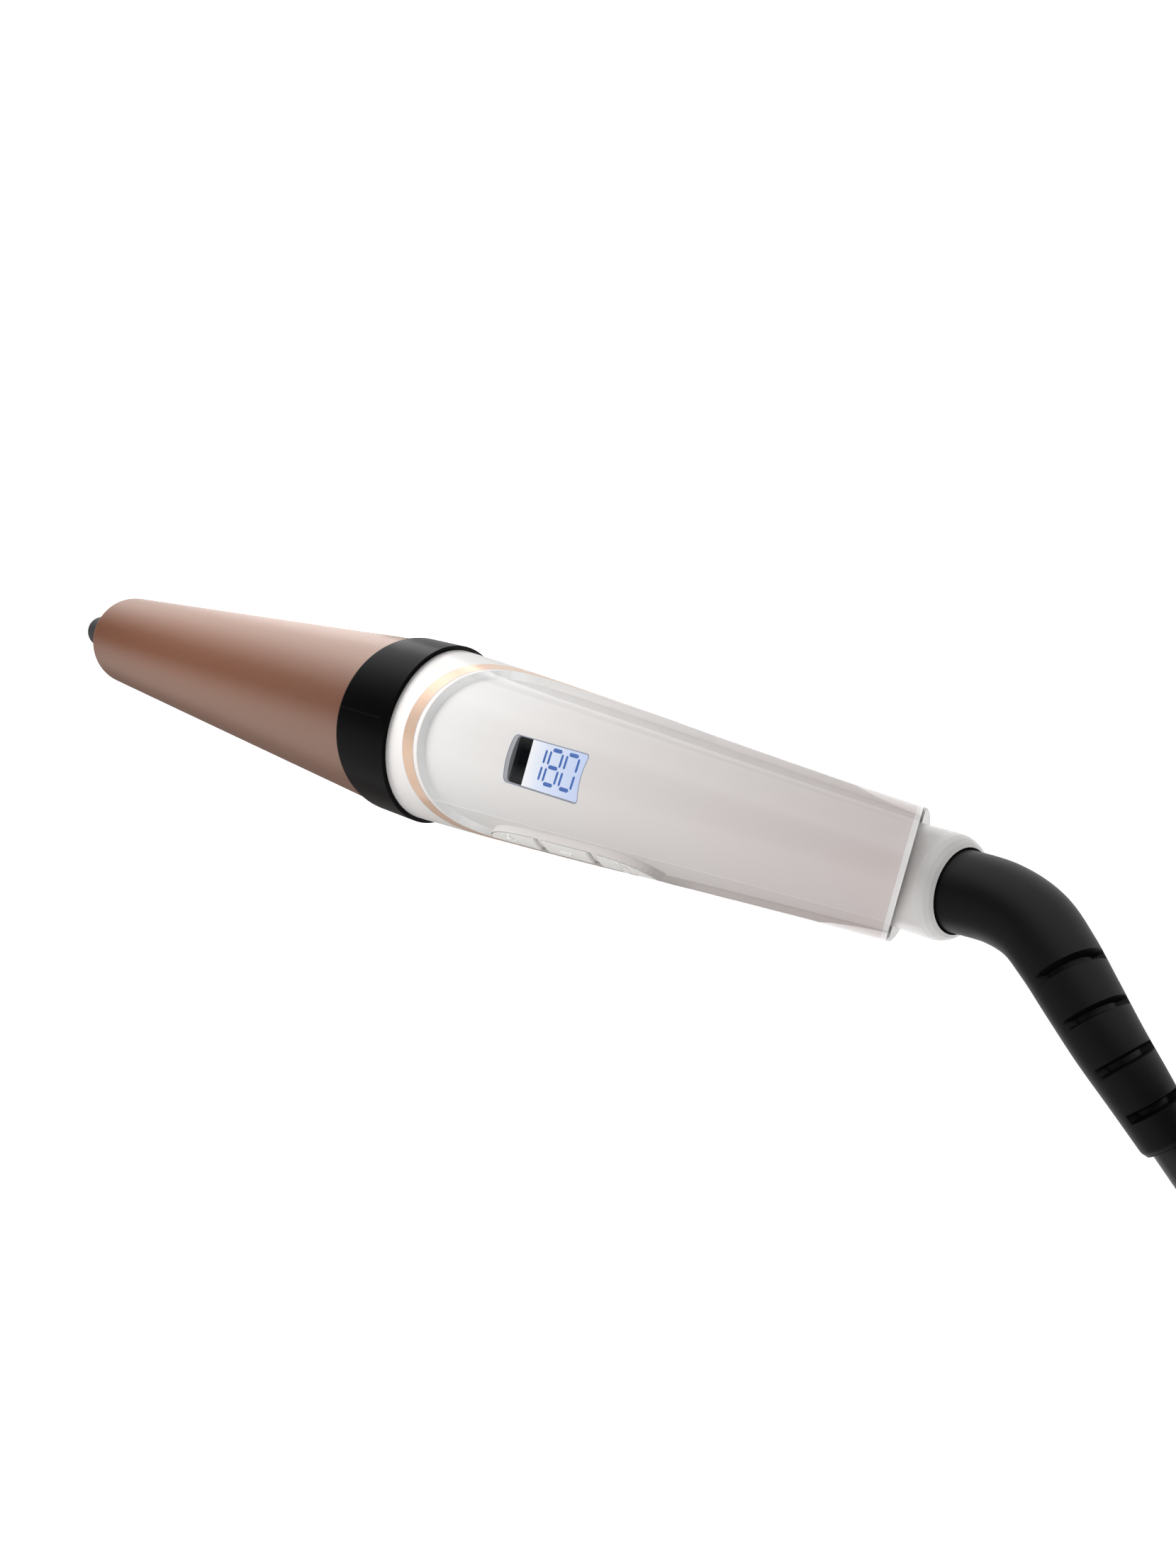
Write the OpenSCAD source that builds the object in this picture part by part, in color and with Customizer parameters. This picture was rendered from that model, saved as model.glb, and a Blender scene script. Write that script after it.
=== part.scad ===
// Conical curling iron: a heated barrel on a round handle, with a display, three keys,
// a swivelling mains lead and a flat two-pin plug.
// Millimetres. +X runs from the cool tip to the cord, +Z points out of the display,
// and z = 0 is the surface that the iron lies on.

/* [Barrel] */
// Length of the heated barrel in front of the collar
barrel_len = 149; // [140:1:155]
// Diameter of the barrel at its tip
barrel_tip_d = 25.2; // [24:0.2:27]
// Diameter of the barrel at the collar
barrel_root_d = 37.8; // [37:0.2:38]
// Wall of the barrel tube
barrel_wall = 1.5; // [1.2:0.1:1.6]
// Length of the cool tip in front of the barrel
tip_len = 24; // [17:1:26]
// Diameter of the cool tip
tip_d = 9.2; // [8.6:0.2:11]

/* [Collar] */
// Diameter of the heat collar
collar_d = 39; // [39:0.5:42]
// Length of the collar along its middle line
collar_len = 13; // [12:0.5:14]
// How far the collar's rear edge leans back, top against middle
collar_lean = 6; // [4:0.5:6]

/* [Handle] */
// Length of the handle from the collar's front to the cord end
handle_len = 150; // [150:1:156]
// Radius of the handle just behind the collar
grip_front_r = 18.9; // [18.6:0.1:19]
// Radius of the handle at the rear edge of the clear cover
grip_rear_r = 10.75; // [10.7:0.05:11.2]
// Wall of the lower housing
shell_wall = 2; // [1.8:0.1:2.2]
// Thickness of the clear cover
cover_t = 1.5; // [1.4:0.1:1.6]
// Radius of the round end that the cord comes out of
cap_r = 8.3; // [8.2:0.1:8.5]

/* [Display] */
// Length of the window
window_l = 21.7; // [18:0.1:22]
// Width of the window
window_w = 9; // [7:0.1:9.2]

/* [Keys] */
// Angle of the key row from the top of the handle, towards -Y
key_angle = 67; // [64:1:70]
// Travel of a key
key_travel = 0.6; // [0.4:0.1:0.6]
// Gap round each key
key_gap = 0.3; // [0.25:0.05:0.4]

/* [Cord] */
// Diameter of the mains lead
cord_d = 6; // [5.6:0.1:6.2]
// Diameter of the strain relief where it leaves the handle
relief_d = 13; // [12.6:0.1:13]
// Straight length of the hank's runs
hank_run = 56; // [52:1:58]

/* [Hidden] */

fine = 96;
slack = 0.05;
axis_z = collar_d / 2;

// Stations along the axis.
tip_x = -(tip_len + barrel_len + handle_len) / 2;
barrel_x = tip_x + tip_len;
collar_x = barrel_x + barrel_len;
grip_x0 = collar_x + 6;
grip_x1 = collar_x + 139;
end_x = collar_x + handle_len;
neck_end_x = collar_x + 12;
ring_end_x = neck_end_x + 3;
rib_end_x = ring_end_x + 2;
trim_x = collar_x + 23.8;
cover_x = trim_x + 4.8;
trim_tail_x = cover_x + 63;

// Radii of the barrel's root, the neck inside the collar and the spigot of the housing.
neck_r = 15.5;
spigot_r = 17.4;
spigot_bore_r = 15.7;
spigot_x1 = trim_x - 0.5;
tip_fillet = 2.5;

// Handle outline: one cubic from the collar to the rear edge of the cover.
grip_slope0 = -0.04;
grip_slope1 = -0.058;
grip_steps = 12;
grip_len = grip_x1 - grip_x0;

function hermite(u) = (2 * u - 3) * u * u * (grip_front_r - grip_rear_r) + grip_front_r
    + grip_len * u * (1 - u) * ((1 - u) * grip_slope0 - u * grip_slope1);
function grip_r(x) = x < grip_x0 ? grip_front_r + grip_slope0 * (x - grip_x0)
    : x > grip_x1 ? grip_rear_r + grip_slope1 * (x - grip_x1)
    : hermite((x - grip_x0) / grip_len);
function barrel_r(x) = (barrel_tip_d + (barrel_root_d - barrel_tip_d) * (x - barrel_x) / barrel_len) / 2;

// Points [radius, x] of the handle outline, moved inwards, between two stations.
function grip_line(inwards, a, b) = concat(
    [[grip_r(a) - inwards, a]],
    [for (i = [0:grip_steps]) let (x = grip_x0 + grip_len * i / grip_steps)
        if (x > a && x < b) [grip_r(x) - inwards, x]],
    [[grip_r(b) - inwards, b]]);
// Points of an arc on a [radius, x] outline. Angle 0 points to -X and 90 points outwards.
function arc(r, x, rad, a0, a1, n = 6) = [for (i = [0:n]) let (a = a0 + (a1 - a0) * i / n)
    [r + rad * sin(a), x - rad * cos(a)]];

// Edges of the trim band seen from the side, as height above the axis.
function trim_front(x) = 19.7 * exp(-(x - trim_x) / 6.5) - 1.5;
function trim_rear(x) = x >= trim_tail_x ? 0
    : 3.9 * pow((trim_tail_x - x) / (trim_tail_x - cover_x), 0.8) + 14.3 * exp(-(x - cover_x) / 5);
trim_foot_x = trim_x + 6.5 * ln(19.7 / 1.5);
// The rear edge of the cover leans back from the seam to the top of the handle.
cover_lean = 0.74;
cover_corner = 1.5;
// Below the seam the step of the lower housing leans forward.
rear_lean = 0.5;
cap_wall = 0.9;
cap_round = 3.4;

// Heat collar and handle meet on a leaning plane.
lean_angle = atan(collar_lean / axis_z);

// Display, on a frame that follows the top of the handle.
display_x = collar_x + 66.15;
display_tilt = atan((grip_r(display_x - window_l / 2) - grip_r(display_x + window_l / 2)) / window_l);
window_corner = 0.8;
bezel_l = window_l + 3.5;
bezel_w = window_w + 3.2;
glass_l = window_l + 1.3;
glass_w = window_w + 1.4;
glass_top = -2.6;
glass_t = 1;
light_t = 2;

// Keys: a leaf-shaped recess, split by two slanted gaps.
leaf_x = collar_x + 67.5;
leaf_half = 23.5;
leaf_w = 4.9;
leaf_floor = -2.4;
key_x = [collar_x + 53.5, collar_x + 68.5, collar_x + 82];
key_split = [-leaf_half - 5, -6.7, 8.3, leaf_half + 5];
split_w = 2.6;
split_slant = 2;
bridge_drop = 0.5;
stem_r = 1.3;
stem_end = 10.6;
board_top = 8;

// Boards and fixings, as heights from the axis.
pcb_top = -1;
pcb_t = 1.6;
pcb_w = 17.6;
pcb_x0 = collar_x + 28;
pcb_x1 = collar_x + 108;
rib_x = [collar_x + 36, collar_x + 72, collar_x + 102];
screw_x = [collar_x + 46, collar_x + 96];
boss_r = 2.6;
boss_foot_r = 4.2;
boss_step = -8;
seat_z = boss_step - 1.8;
head_r = 2.7;
screw_r = 1.2;

// Swivel of the cord.
hub_r = 4;
ring_r = 5.2;
hub_x0 = collar_x + 118;
flange_x0 = end_x - 6.7;
flange_x1 = end_x - 3;
bush_x0 = end_x - 14;
bush_x1 = end_x - 10;
holder_x = collar_x + 112;

// Heater inside the barrel.
block_x0 = barrel_x + 14;
block_x1 = collar_x - 10;
stack_half = 3;
ptc_t = 4;
spring_t = 0.4;

// Centre line of the lead from the swivel to the hank: free points, then a smooth curve.
cord_route = [for (p = [[0, 0, axis_z], [7, 0, axis_z], [13, -1.5, axis_z], [18, -4.8, axis_z],
    [23, -9.2, axis_z - 0.5], [28, -14, axis_z - 1.7], [33, -19, axis_z - 4], [38, -24.5, 12.5],
    [43, -29.5, 9.5], [48, -34.5, 7], [53.5, -39, 5], [60, -42.5, 3.6], [67, -44.4, 3],
    [75, -45, 3]]) [end_x + p[0], p[1], p[2]]];
relief_last = 7;
// The hank: turns between an inner and an outer fold, in layers.
hank_pos = [end_x + 112.5, -15];
hank_outer = 33;
hank_inner = 15;
hank_h = 5 * cord_d;
plug_h = 13.7;
plug_pos = [hank_pos[0] + 16, hank_pos[1], hank_h + plug_h / 2];
// The lead's last stretch leaves the inner fold, rises over the top of the hank and enters the plug.
tail_route = [for (p = [[-44, -8.3, 0], [-37.4, -15.4, 1.5], [-28, -18, 3], [-21, -17.2, 3.3],
    [-14, -14.8, 4.1], [-6, -9, 5.1], [2, -3.2, 6], [9, -0.8, 6.6], [16, 0, plug_h / 2]])
    [hank_pos[0] + p[0], hank_pos[1] + p[1], hank_h + p[2]]];
tie_x = -7;

// ---------- helpers ----------

// Turns a [radius, x] outline about the axis of the iron.
module turned(points, fn = fine) {
    translate([0, 0, axis_z]) rotate([0, 90, 0]) rotate_extrude($fn = fn) polygon(points);
}

// A prism from an outline seen from the side, [x, height above the axis].
module side_prism(points, y0 = -30, y1 = 30) {
    translate([0, y1, axis_z]) rotate([90, 0, 0]) linear_extrude(y1 - y0) polygon(points);
}

// Everything behind the leaning plane where the collar ends.
module behind_collar(gap = 0) {
    translate([collar_x + collar_len + gap, 0, axis_z]) rotate([0, lean_angle, 0])
        translate([0, -60, -60]) cube([400, 120, 120]);
}

// Upper or lower half of the space round the axis.
module half(up, gap = 0) {
    translate([tip_x, -60, up ? axis_z + gap : axis_z - gap - 60]) cube([2 * abs(tip_x) + 60, 120, 60]);
}

// Area behind the front or the rear edge of the trim band, down to the seam.
module behind_trim_front(gap = 0) {
    side_prism(concat([[trim_x - 1.5 + gap, 26]],
        [for (i = [0:16]) let (x = trim_x + (trim_foot_x - trim_x) * i / 16) [x + gap, trim_front(x)]],
        [[end_x + 30, 0], [end_x + 30, 26]]));
}
module behind_trim_rear(gap = 0) {
    side_prism(concat([[cover_x - 1 + gap, 26]],
        [for (i = [0:24]) let (x = cover_x + (trim_tail_x - cover_x) * pow(i / 24, 1.6)) [x + gap, trim_rear(x)]],
        [[end_x + 30, 0], [end_x + 30, 26]]));
}

module crown_frame() {
    translate([display_x, 0, axis_z + grip_r(display_x)]) rotate([0, display_tilt, 0]) children();
}

module key_frame() {
    translate([0, 0, axis_z]) rotate([key_angle, 0, 0]) children();
}

// Leaf outline in the key frame: a flat foot and a long bow, pointed at its ends.
module leaf(inset = 0) {
    half_l = leaf_half - 2 * inset;
    polygon([for (i = [0:32]) let (u = -cos(180 * i / 32))
        [leaf_x + half_l * u,
         leaf_floor + inset + (leaf_w - 2 * inset) * sqrt(max(0, 1 - pow(u, 4)))]]);
}

module leaf_prism(inset = 0) {
    key_frame() translate([0, 0, 11]) linear_extrude(10) leaf(inset);
}

// Tube through a list of points, with a radius for each ring.
function spline(p, i, t) = let (
    n = len(p) - 1, a = p[max(i - 1, 0)], b = p[i], c = p[i + 1], d = p[min(i + 2, n)])
    (2 * b + (c - a) * t + (2 * a - 5 * b + 4 * c - d) * t * t + (3 * b - a - 3 * c + d) * t * t * t) / 2;
function smooth(p, steps) = concat(
    [for (i = [0:len(p) - 2], j = [0:steps - 1]) spline(p, i, j / steps)], [p[len(p) - 1]]);
function unit(v) = v / norm(v);
module swept(path, radii, sides) {
    n = len(path);
    rings = [for (i = [0:n - 1]) let (
        t = i == 0 ? unit(path[1] - path[0]) : unit(path[min(i + 1, n - 1)] - path[i - 1]),
        side = unit(cross(t, [0, 0, 1])), up = cross(side, t))
        for (k = [0:sides - 1]) path[i] + radii[i] * (cos(360 * k / sides) * side - sin(360 * k / sides) * up)];
    faces = concat(
        [[for (k = [0:sides - 1]) k]],
        [for (i = [0:n - 2], k = [0:sides - 1]) let (k1 = (k + 1) % sides)
            [i * sides + k, (i + 1) * sides + k, (i + 1) * sides + k1, i * sides + k1]],
        [[for (k = [sides - 1:-1:0]) (n - 1) * sides + k]]);
    polyhedron(rings, faces, convexity = 8);
}

// ---------- barrel ----------

module barrel() {
    color("#b08874") turned(concat(
        [[tip_d / 2 - 1.05, barrel_x]],
        arc(barrel_tip_d / 2 - tip_fillet, barrel_x + tip_fillet, tip_fillet, 0, 87),
        [[barrel_r(collar_x - 0.5), collar_x - 0.5], [barrel_r(collar_x) - 0.5, collar_x],
         [neck_r, collar_x], [neck_r, neck_end_x], [neck_r - barrel_wall, neck_end_x],
         [neck_r - barrel_wall, collar_x - barrel_wall],
         [barrel_r(collar_x - barrel_wall) - barrel_wall, collar_x - barrel_wall],
         [barrel_r(barrel_x + barrel_wall) - barrel_wall, barrel_x + barrel_wall],
         [tip_d / 2 - 1.05, barrel_x + barrel_wall]]));
}

module cool_tip() {
    color("#3a3a3c") turned(concat(
        [[0, tip_x]],
        arc(tip_d / 2 - 3, tip_x + 3, 3, 0, 90),
        [[tip_d / 2, barrel_x - 3], [tip_d / 2 + 0.5, barrel_x], [tip_d / 2 - 1.1, barrel_x],
         [tip_d / 2 - 1.1, barrel_x + barrel_wall - slack], [screw_r + slack, barrel_x + barrel_wall - slack],
         [screw_r + slack, barrel_x - 11], [0, barrel_x - 11]]));
}

module tip_screw() {
    color("silver") turned([
        [0, barrel_x - 10.5], [screw_r, barrel_x - 10], [screw_r, barrel_x + barrel_wall],
        [5, barrel_x + barrel_wall], [5, barrel_x + 2.3], [3.2, barrel_x + 2.6],
        [2.8, barrel_x + 4.4], [0, barrel_x + 4.8]]);
}

// Half of the heat spreader: a D section that fills the cone, drilled along its length.
module heater_block(side, hole_r) {
    difference() {
        turned([[0, block_x0], [barrel_r(block_x0) - barrel_wall - slack, block_x0],
                [barrel_r(block_x1) - barrel_wall - slack, block_x1], [0, block_x1]]);
        translate([block_x0 - 1, side > 0 ? -60 + stack_half : -stack_half, 0])
            cube([barrel_len, 60, 60]);
        translate([block_x1 - 30, side * 7.2, axis_z]) rotate([0, 90, 0]) cylinder(r = hole_r, h = 40, $fn = 32);
        for (z = [-5, 5]) translate([block_x0 - 1, side * 5.6, axis_z + z]) rotate([0, 90, 0])
            cylinder(r = 1.6, h = barrel_len, $fn = 32);
    }
}

module heater_block_left() { color("lightgray") heater_block(1, 1.55); }
module heater_block_right() { color("lightgray") heater_block(-1, 2.05); }

module ptc_heater() {
    color("#d8c9a8") translate([block_x0 + 3, -stack_half, axis_z - 8.5])
        cube([block_x1 - block_x0 - 6, ptc_t, 17]);
}

// Waved leaf spring that spreads the two heater blocks.
module pressure_spring() {
    waves = 6;
    steps = 8 * waves;
    length = block_x1 - block_x0 - 12;
    gap = 2 * stack_half - ptc_t;
    wave = [for (i = [0:steps]) [block_x0 + 6 + length * i / steps,
        stack_half - gap / 2 + (gap / 2 - spring_t / 2 - slack) * cos(360 * waves * i / steps)]];
    color("silver") translate([0, 0, axis_z - 7]) linear_extrude(14) polygon(concat(
        [for (p = wave) p - [0, spring_t / 2]],
        [for (i = [steps:-1:0]) wave[i] + [0, spring_t / 2]]));
}

module temperature_sensor() {
    color("#e8e4d8") translate([block_x1 - 29, 7.2, axis_z]) rotate([0, 90, 0]) {
        cylinder(r = 1.5, h = 32, $fn = 32);
        translate([0, 0, 32]) cylinder(r = 0.8, h = 8, $fn = 24);
    }
}

module thermal_fuse() {
    color("#c9b37a") translate([block_x1 - 14, -7.2, axis_z]) rotate([0, 90, 0]) {
        cylinder(r = 2, h = 16, $fn = 32);
        translate([0, 0, 16]) cylinder(r = 0.6, h = 8, $fn = 24);
    }
}

// Two sleeved wires from the heater to the terminal block.
module heater_leads() {
    color("#b3372f") for (z = [1.6, 5.2]) translate([block_x1 - 3, -1, axis_z + z]) rotate([0, 90, 0])
        cylinder(r = 1.1, h = pcb_x0 + 2 - block_x1 + 3, $fn = 24);
}

// ---------- collar ----------

module insulator_ring() {
    color("#d9d2c0") turned([
        [8, neck_end_x - 6], [neck_r - barrel_wall - slack, neck_end_x - 6],
        [neck_r - barrel_wall - slack, neck_end_x], [neck_r, neck_end_x], [neck_r, ring_end_x],
        [8, ring_end_x]]);
}

module heat_collar() {
    color("#202022") difference() {
        turned([[neck_r + slack, collar_x], [axis_z - 0.7, collar_x], [axis_z - 0.2, collar_x + 0.25],
                [axis_z, collar_x + 0.8], [axis_z, collar_x + 24], [spigot_r + slack, collar_x + 24],
                [spigot_r + slack, collar_x + 3.5], [neck_r + slack, collar_x + 3.5]]);
        behind_collar();
    }
}

// ---------- handle ----------

// Inside of the handle, with the given wall in front of the cord end.
module cavity(wall) {
    turned(concat(
        [[0, collar_x + 3], [spigot_bore_r, collar_x + 3], [spigot_bore_r, ring_end_x], [9, ring_end_x],
         [9, rib_end_x]],
        grip_line(wall, rib_end_x, bush_x0 - 3),
        [[cap_r - cap_wall, bush_x0 - 3], [cap_r - cap_wall, bush_x0 - 1.5], [6, bush_x0 - 1.5], [6, bush_x0],
         [cap_r - cap_wall, bush_x0], [cap_r - cap_wall, bush_x1], [hub_r + 0.6, bush_x1],
         [hub_r + 0.6, bush_x1 + 1.5], [cap_r - cap_wall, bush_x1 + 1.5], [cap_r - cap_wall, end_x - 2.5],
         [relief_d / 2 + 0.25, end_x - 2.5], [relief_d / 2 + 0.25, end_x + 1], [0, end_x + 1]]));
}

// Outside of one housing: the spigot in the collar, the grip and the round cord end.
module housing_body(inwards, shoulder_x) {
    turned([[0, collar_x + 4], [spigot_r, collar_x + 4], [spigot_r, spigot_x1], [0, spigot_x1]]);
    intersection() {
        turned(concat([[0, collar_x + 5]], grip_line(inwards, collar_x + 5, shoulder_x - 0.8),
            [[max(cap_r + 0.1, grip_r(shoulder_x) - inwards - 0.7), shoulder_x], [cap_r, shoulder_x]],
            arc(cap_r - cap_round, end_x - cap_round, cap_round, 90, 180), [[0, end_x]]));
        behind_collar();
    }
}

// What stands out round the cord end behind the leaning step of the lower housing.
module rear_step() {
    difference() {
        side_prism([[grip_x1, 1], [grip_x1, 0], [grip_x1 - 13 * rear_lean, -13], [end_x, -13],
            [end_x, 1]]);
        turned([[0, grip_x1 - 10], [cap_r, grip_x1 - 10], [cap_r, end_x + 1], [0, end_x + 1]]);
    }
}

module screw_boss(x, up) {
    if (up) translate([x, 0, axis_z + slack]) cylinder(r = boss_r, h = grip_r(x) - 2.5, $fn = 32);
    else {
        translate([x, 0, axis_z - grip_r(x) + 1]) cylinder(r = boss_foot_r, h = grip_r(x) - 1 + boss_step, $fn = 32);
        translate([x, 0, axis_z + boss_step - 1]) cylinder(r = boss_r, h = -boss_step + 1 - slack, $fn = 32);
    }
}

module lower_housing() {
    color("#eceae6") difference() {
        union() {
            intersection() {
                difference() {
                    housing_body(0, grip_x1);
                    cavity(shell_wall);
                    rear_step();
                }
                half(false, slack / 2);
            }
            // Ribs that carry the main board.
            for (x = rib_x) intersection() {
                cavity(shell_wall - 0.5);
                translate([x, -30, axis_z - 30]) cube([1.5, 60, 30 + pcb_top - pcb_t]);
            }
            for (x = screw_x) screw_boss(x, false);
        }
        for (x = screw_x) {
            translate([x, 0, axis_z - 20]) cylinder(r = head_r, h = 20 + seat_z, $fn = 32);
            translate([x, 0, axis_z - 20]) cylinder(r = screw_r + 0.25, h = 21, $fn = 24);
        }
    }
}

module upper_housing() {
    color("#f4f3f0") difference() {
        union() {
            intersection() {
                difference() {
                    union() {
                        // Front band at full size, and the part under the cover stepped in.
                        difference() {
                            housing_body(0, grip_x1);
                            behind_trim_front();
                        }
                        housing_body(cover_t + slack, grip_x1 - 2);
                    }
                    cavity(cover_t + slack + 1.8);
                }
                half(true, slack / 2);
            }
            for (x = screw_x) screw_boss(x, true);
            // Raised floor between the keys, a little below the surface.
            intersection() {
                turned(concat(grip_line(bridge_drop, leaf_x - 20, leaf_x + 20),
                    [[grip_r(leaf_x + 20) - 2.5, leaf_x + 20], [grip_r(leaf_x - 20) - 2.5, leaf_x - 20]]));
                leaf_prism(key_gap);
                key_frame() for (i = [1, 2]) linear_extrude(30) polygon([
                    [leaf_x + key_split[i] - split_w / 2 + key_gap - split_slant, -6],
                    [leaf_x + key_split[i] + split_w / 2 - key_gap - split_slant, -6],
                    [leaf_x + key_split[i] + split_w / 2 - key_gap + split_slant, 6],
                    [leaf_x + key_split[i] - split_w / 2 + key_gap + split_slant, 6]]);
            }
            for (x = [key_x[0] - 6.5, key_x[2] + 5.5]) key_frame()
                translate([x, 0, board_top]) cylinder(r = 1.2, h = grip_r(x) - 2.4 - board_top, $fn = 24);
        }
        crown_frame() translate([-bezel_l / 2 - slack, -bezel_w / 2 - slack, -12])
            cube([bezel_l + 2 * slack, bezel_w + 2 * slack, 14]);
        for (x = key_x) key_frame() translate([x, 0, 4]) cylinder(r = stem_r + 0.3, h = 14, $fn = 24);
        for (x = screw_x) translate([x, 0, axis_z - 1]) cylinder(r = screw_r + slack, h = 10, $fn = 24);
    }
}

// Skin of the handle between the housing step and the outside.
module grip_skin(outwards = 0) {
    turned(concat(grip_line(-outwards, trim_x - 4, end_x + 2),
        [for (p = [len(grip_line(0, trim_x - 4, end_x + 2)) - 1:-1:0])
            grip_line(cover_t, trim_x - 4, end_x + 2)[p]]));
}

module trim_band() {
    color("#d9a68a") difference() {
        intersection() {
            grip_skin();
            behind_trim_front(slack);
            half(true, slack / 2);
        }
        behind_trim_rear();
        leaf_prism();
    }
}

module clear_cover() {
    color("#f2f4f5", 0.6) difference() {
        intersection() {
            grip_skin();
            behind_trim_rear(slack);
            half(true, slack / 2);
            translate([0, 30, axis_z]) rotate([90, 0, 0]) linear_extrude(60)
                offset(r = cover_corner, $fn = 32) offset(delta = -cover_corner)
                polygon([[0, 0], [grip_x1 - 0.5, 0], [grip_x1 - 0.5 + 26 * cover_lean, 26], [0, 26]]);
        }
        leaf_prism();
    }
}

// ---------- display ----------

module display_bezel() {
    color("#9a9ca0") difference() {
        intersection() {
            turned(concat([[0, display_x - 20]], grip_line(cover_t + slack, display_x - 20, display_x + 20),
                [[0, display_x + 20]]));
            crown_frame() translate([-bezel_l / 2, -bezel_w / 2, glass_top - glass_t])
                cube([bezel_l, bezel_w, 6]);
        }
        crown_frame() translate([0, 0, -6]) linear_extrude(10) offset(r = window_corner, $fn = 32)
            square([window_l - 2 * window_corner, window_w - 2 * window_corner], center = true);
        crown_frame() translate([-glass_l / 2 - slack, -glass_w / 2 - slack, glass_top - glass_t - 1])
            cube([glass_l + 2 * slack, glass_w + 2 * slack, glass_t + 1]);
    }
}

module lcd_glass() {
    color("#c9dcf5") crown_frame() translate([-glass_l / 2, -glass_w / 2, glass_top - glass_t])
        cube([glass_l, glass_w, glass_t]);
}

module backlight() {
    color("white") crown_frame() translate([-glass_l / 2, -glass_w / 2, glass_top - glass_t - light_t])
        cube([glass_l, glass_w, light_t]);
}

// Tray that carries the display on four legs above the main board.
module lcd_holder() {
    floor_z = glass_top - glass_t - light_t;
    color("#2a2a2c") intersection() {
        union() {
            difference() {
                crown_frame() translate([-bezel_l / 2, -bezel_w / 2, floor_z - 1])
                    cube([bezel_l, bezel_w, light_t + 1]);
                crown_frame() translate([-glass_l / 2 - slack, -glass_w / 2 - slack, floor_z])
                    cube([glass_l + 2 * slack, glass_w + 2 * slack, light_t + 1]);
            }
            for (x = [-1, 1], y = [-1, 1]) crown_frame()
                translate([x * (bezel_l / 2 - 1.5) - 0.75, y * (bezel_w / 2 - 1.5) - 0.75, -20])
                    cube([1.5, 1.5, 20 + floor_z - 0.5]);
        }
        translate([display_x - 30, -20, axis_z + pcb_top]) cube([60, 40, 30]);
    }
}

// ---------- keys ----------

// One key: a cap cut from the leaf between two slanted gaps, and its stem.
module key_piece(i) {
    difference() {
        intersection() {
            turned(concat(grip_line(-0.15, leaf_x - 30, leaf_x + 30),
                [for (p = [len(grip_line(0, leaf_x - 30, leaf_x + 30)) - 1:-1:0])
                    grip_line(0.9, leaf_x - 30, leaf_x + 30)[p]]));
            leaf_prism(key_gap);
            key_frame() translate([leaf_x, 0, 0]) linear_extrude(30) polygon([
                [key_split[i] + split_w / 2 - split_slant, -6], [key_split[i + 1] - split_w / 2 - split_slant, -6],
                [key_split[i + 1] - split_w / 2 + split_slant, 6], [key_split[i] + split_w / 2 + split_slant, 6]]);
        }
    }
    key_frame() translate([key_x[i], 0, stem_end])
        cylinder(r = stem_r, h = grip_r(key_x[i]) - 0.6 - stem_end, $fn = 24);
}

module plus_key() { color("#f6f5f2") key_piece(0); }
module minus_key() { color("#f6f5f2") key_piece(1); }
module power_key() { color("#f6f5f2") key_piece(2); }

// Side board with one tactile switch under each stem.
module key_board() {
    color("#2f6b45") key_frame() translate([key_x[0] - 8.5, -2.7, board_top - 1])
        cube([key_x[2] - key_x[0] + 16, 5.4, 1]);
    color("#39393b") key_frame() for (x = key_x) {
        translate([x - 2.2, -2.2, board_top]) cube([4.4, 4.4, 1.4]);
        translate([x, 0, board_top + 1.4]) cylinder(r = 1.1, h = stem_end - key_travel - slack - board_top - 1.4, $fn = 24);
    }
}

// ---------- boards and fixings ----------

module main_board() {
    color("#2f6b45") difference() {
        translate([pcb_x0, -pcb_w / 2, axis_z + pcb_top - pcb_t]) cube([pcb_x1 - pcb_x0, pcb_w, pcb_t]);
        for (x = screw_x) translate([x, 0, axis_z - 10]) cylinder(r = boss_r + 0.3, h = 20, $fn = 32);
    }
    // Terminal block, capacitor, switching parts and inductor.
    color("#3f7fbf") translate([pcb_x0 + 2, -5, axis_z + pcb_top]) cube([8, 9, 8]);
    color("#c9772e") translate([pcb_x0 + 76, -1, axis_z + pcb_top]) cube([3, 7, 5]);
    color("#2b2b2d") {
        translate([pcb_x0 + 30, 1, axis_z + pcb_top]) cube([9, 6, 4]);
        translate([pcb_x0 + 58, 4, axis_z + pcb_top - pcb_t - 5]) cylinder(r = 3, h = 5, $fn = 32);
        translate([pcb_x0 + 26, -4, axis_z + pcb_top - pcb_t - 4]) cube([12, 8, 4]);
    }
}

module housing_screws() {
    color("silver") for (x = screw_x) translate([x, 0, axis_z + seat_z]) {
        translate([0, 0, -1.8]) cylinder(r = head_r - 0.2, h = 1.8, $fn = 32);
        cylinder(r = screw_r, h = 6 - seat_z, $fn = 24);
    }
}

// ---------- swivel ----------

module swivel_hub() {
    color("#2a2a2c") turned([
        [1.2, hub_x0], [hub_r, hub_x0], [hub_r, flange_x0], [cap_r - cap_wall - 0.3, flange_x0],
        [cap_r - cap_wall - 0.3, flange_x1], [1.2, flange_x1]]);
}

module slip_rings() {
    color("gold") for (x = [hub_x0 + 3, hub_x0 + 10])
        turned([[hub_r, x], [ring_r, x], [ring_r, x + 3], [hub_r, x + 3]]);
}

module swivel_bush() {
    color("#e6e2d4") turned([[hub_r + 0.05, bush_x0], [cap_r - cap_wall - 0.05, bush_x0],
        [cap_r - cap_wall - 0.05, bush_x1], [hub_r + 0.05, bush_x1]]);
}

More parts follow.
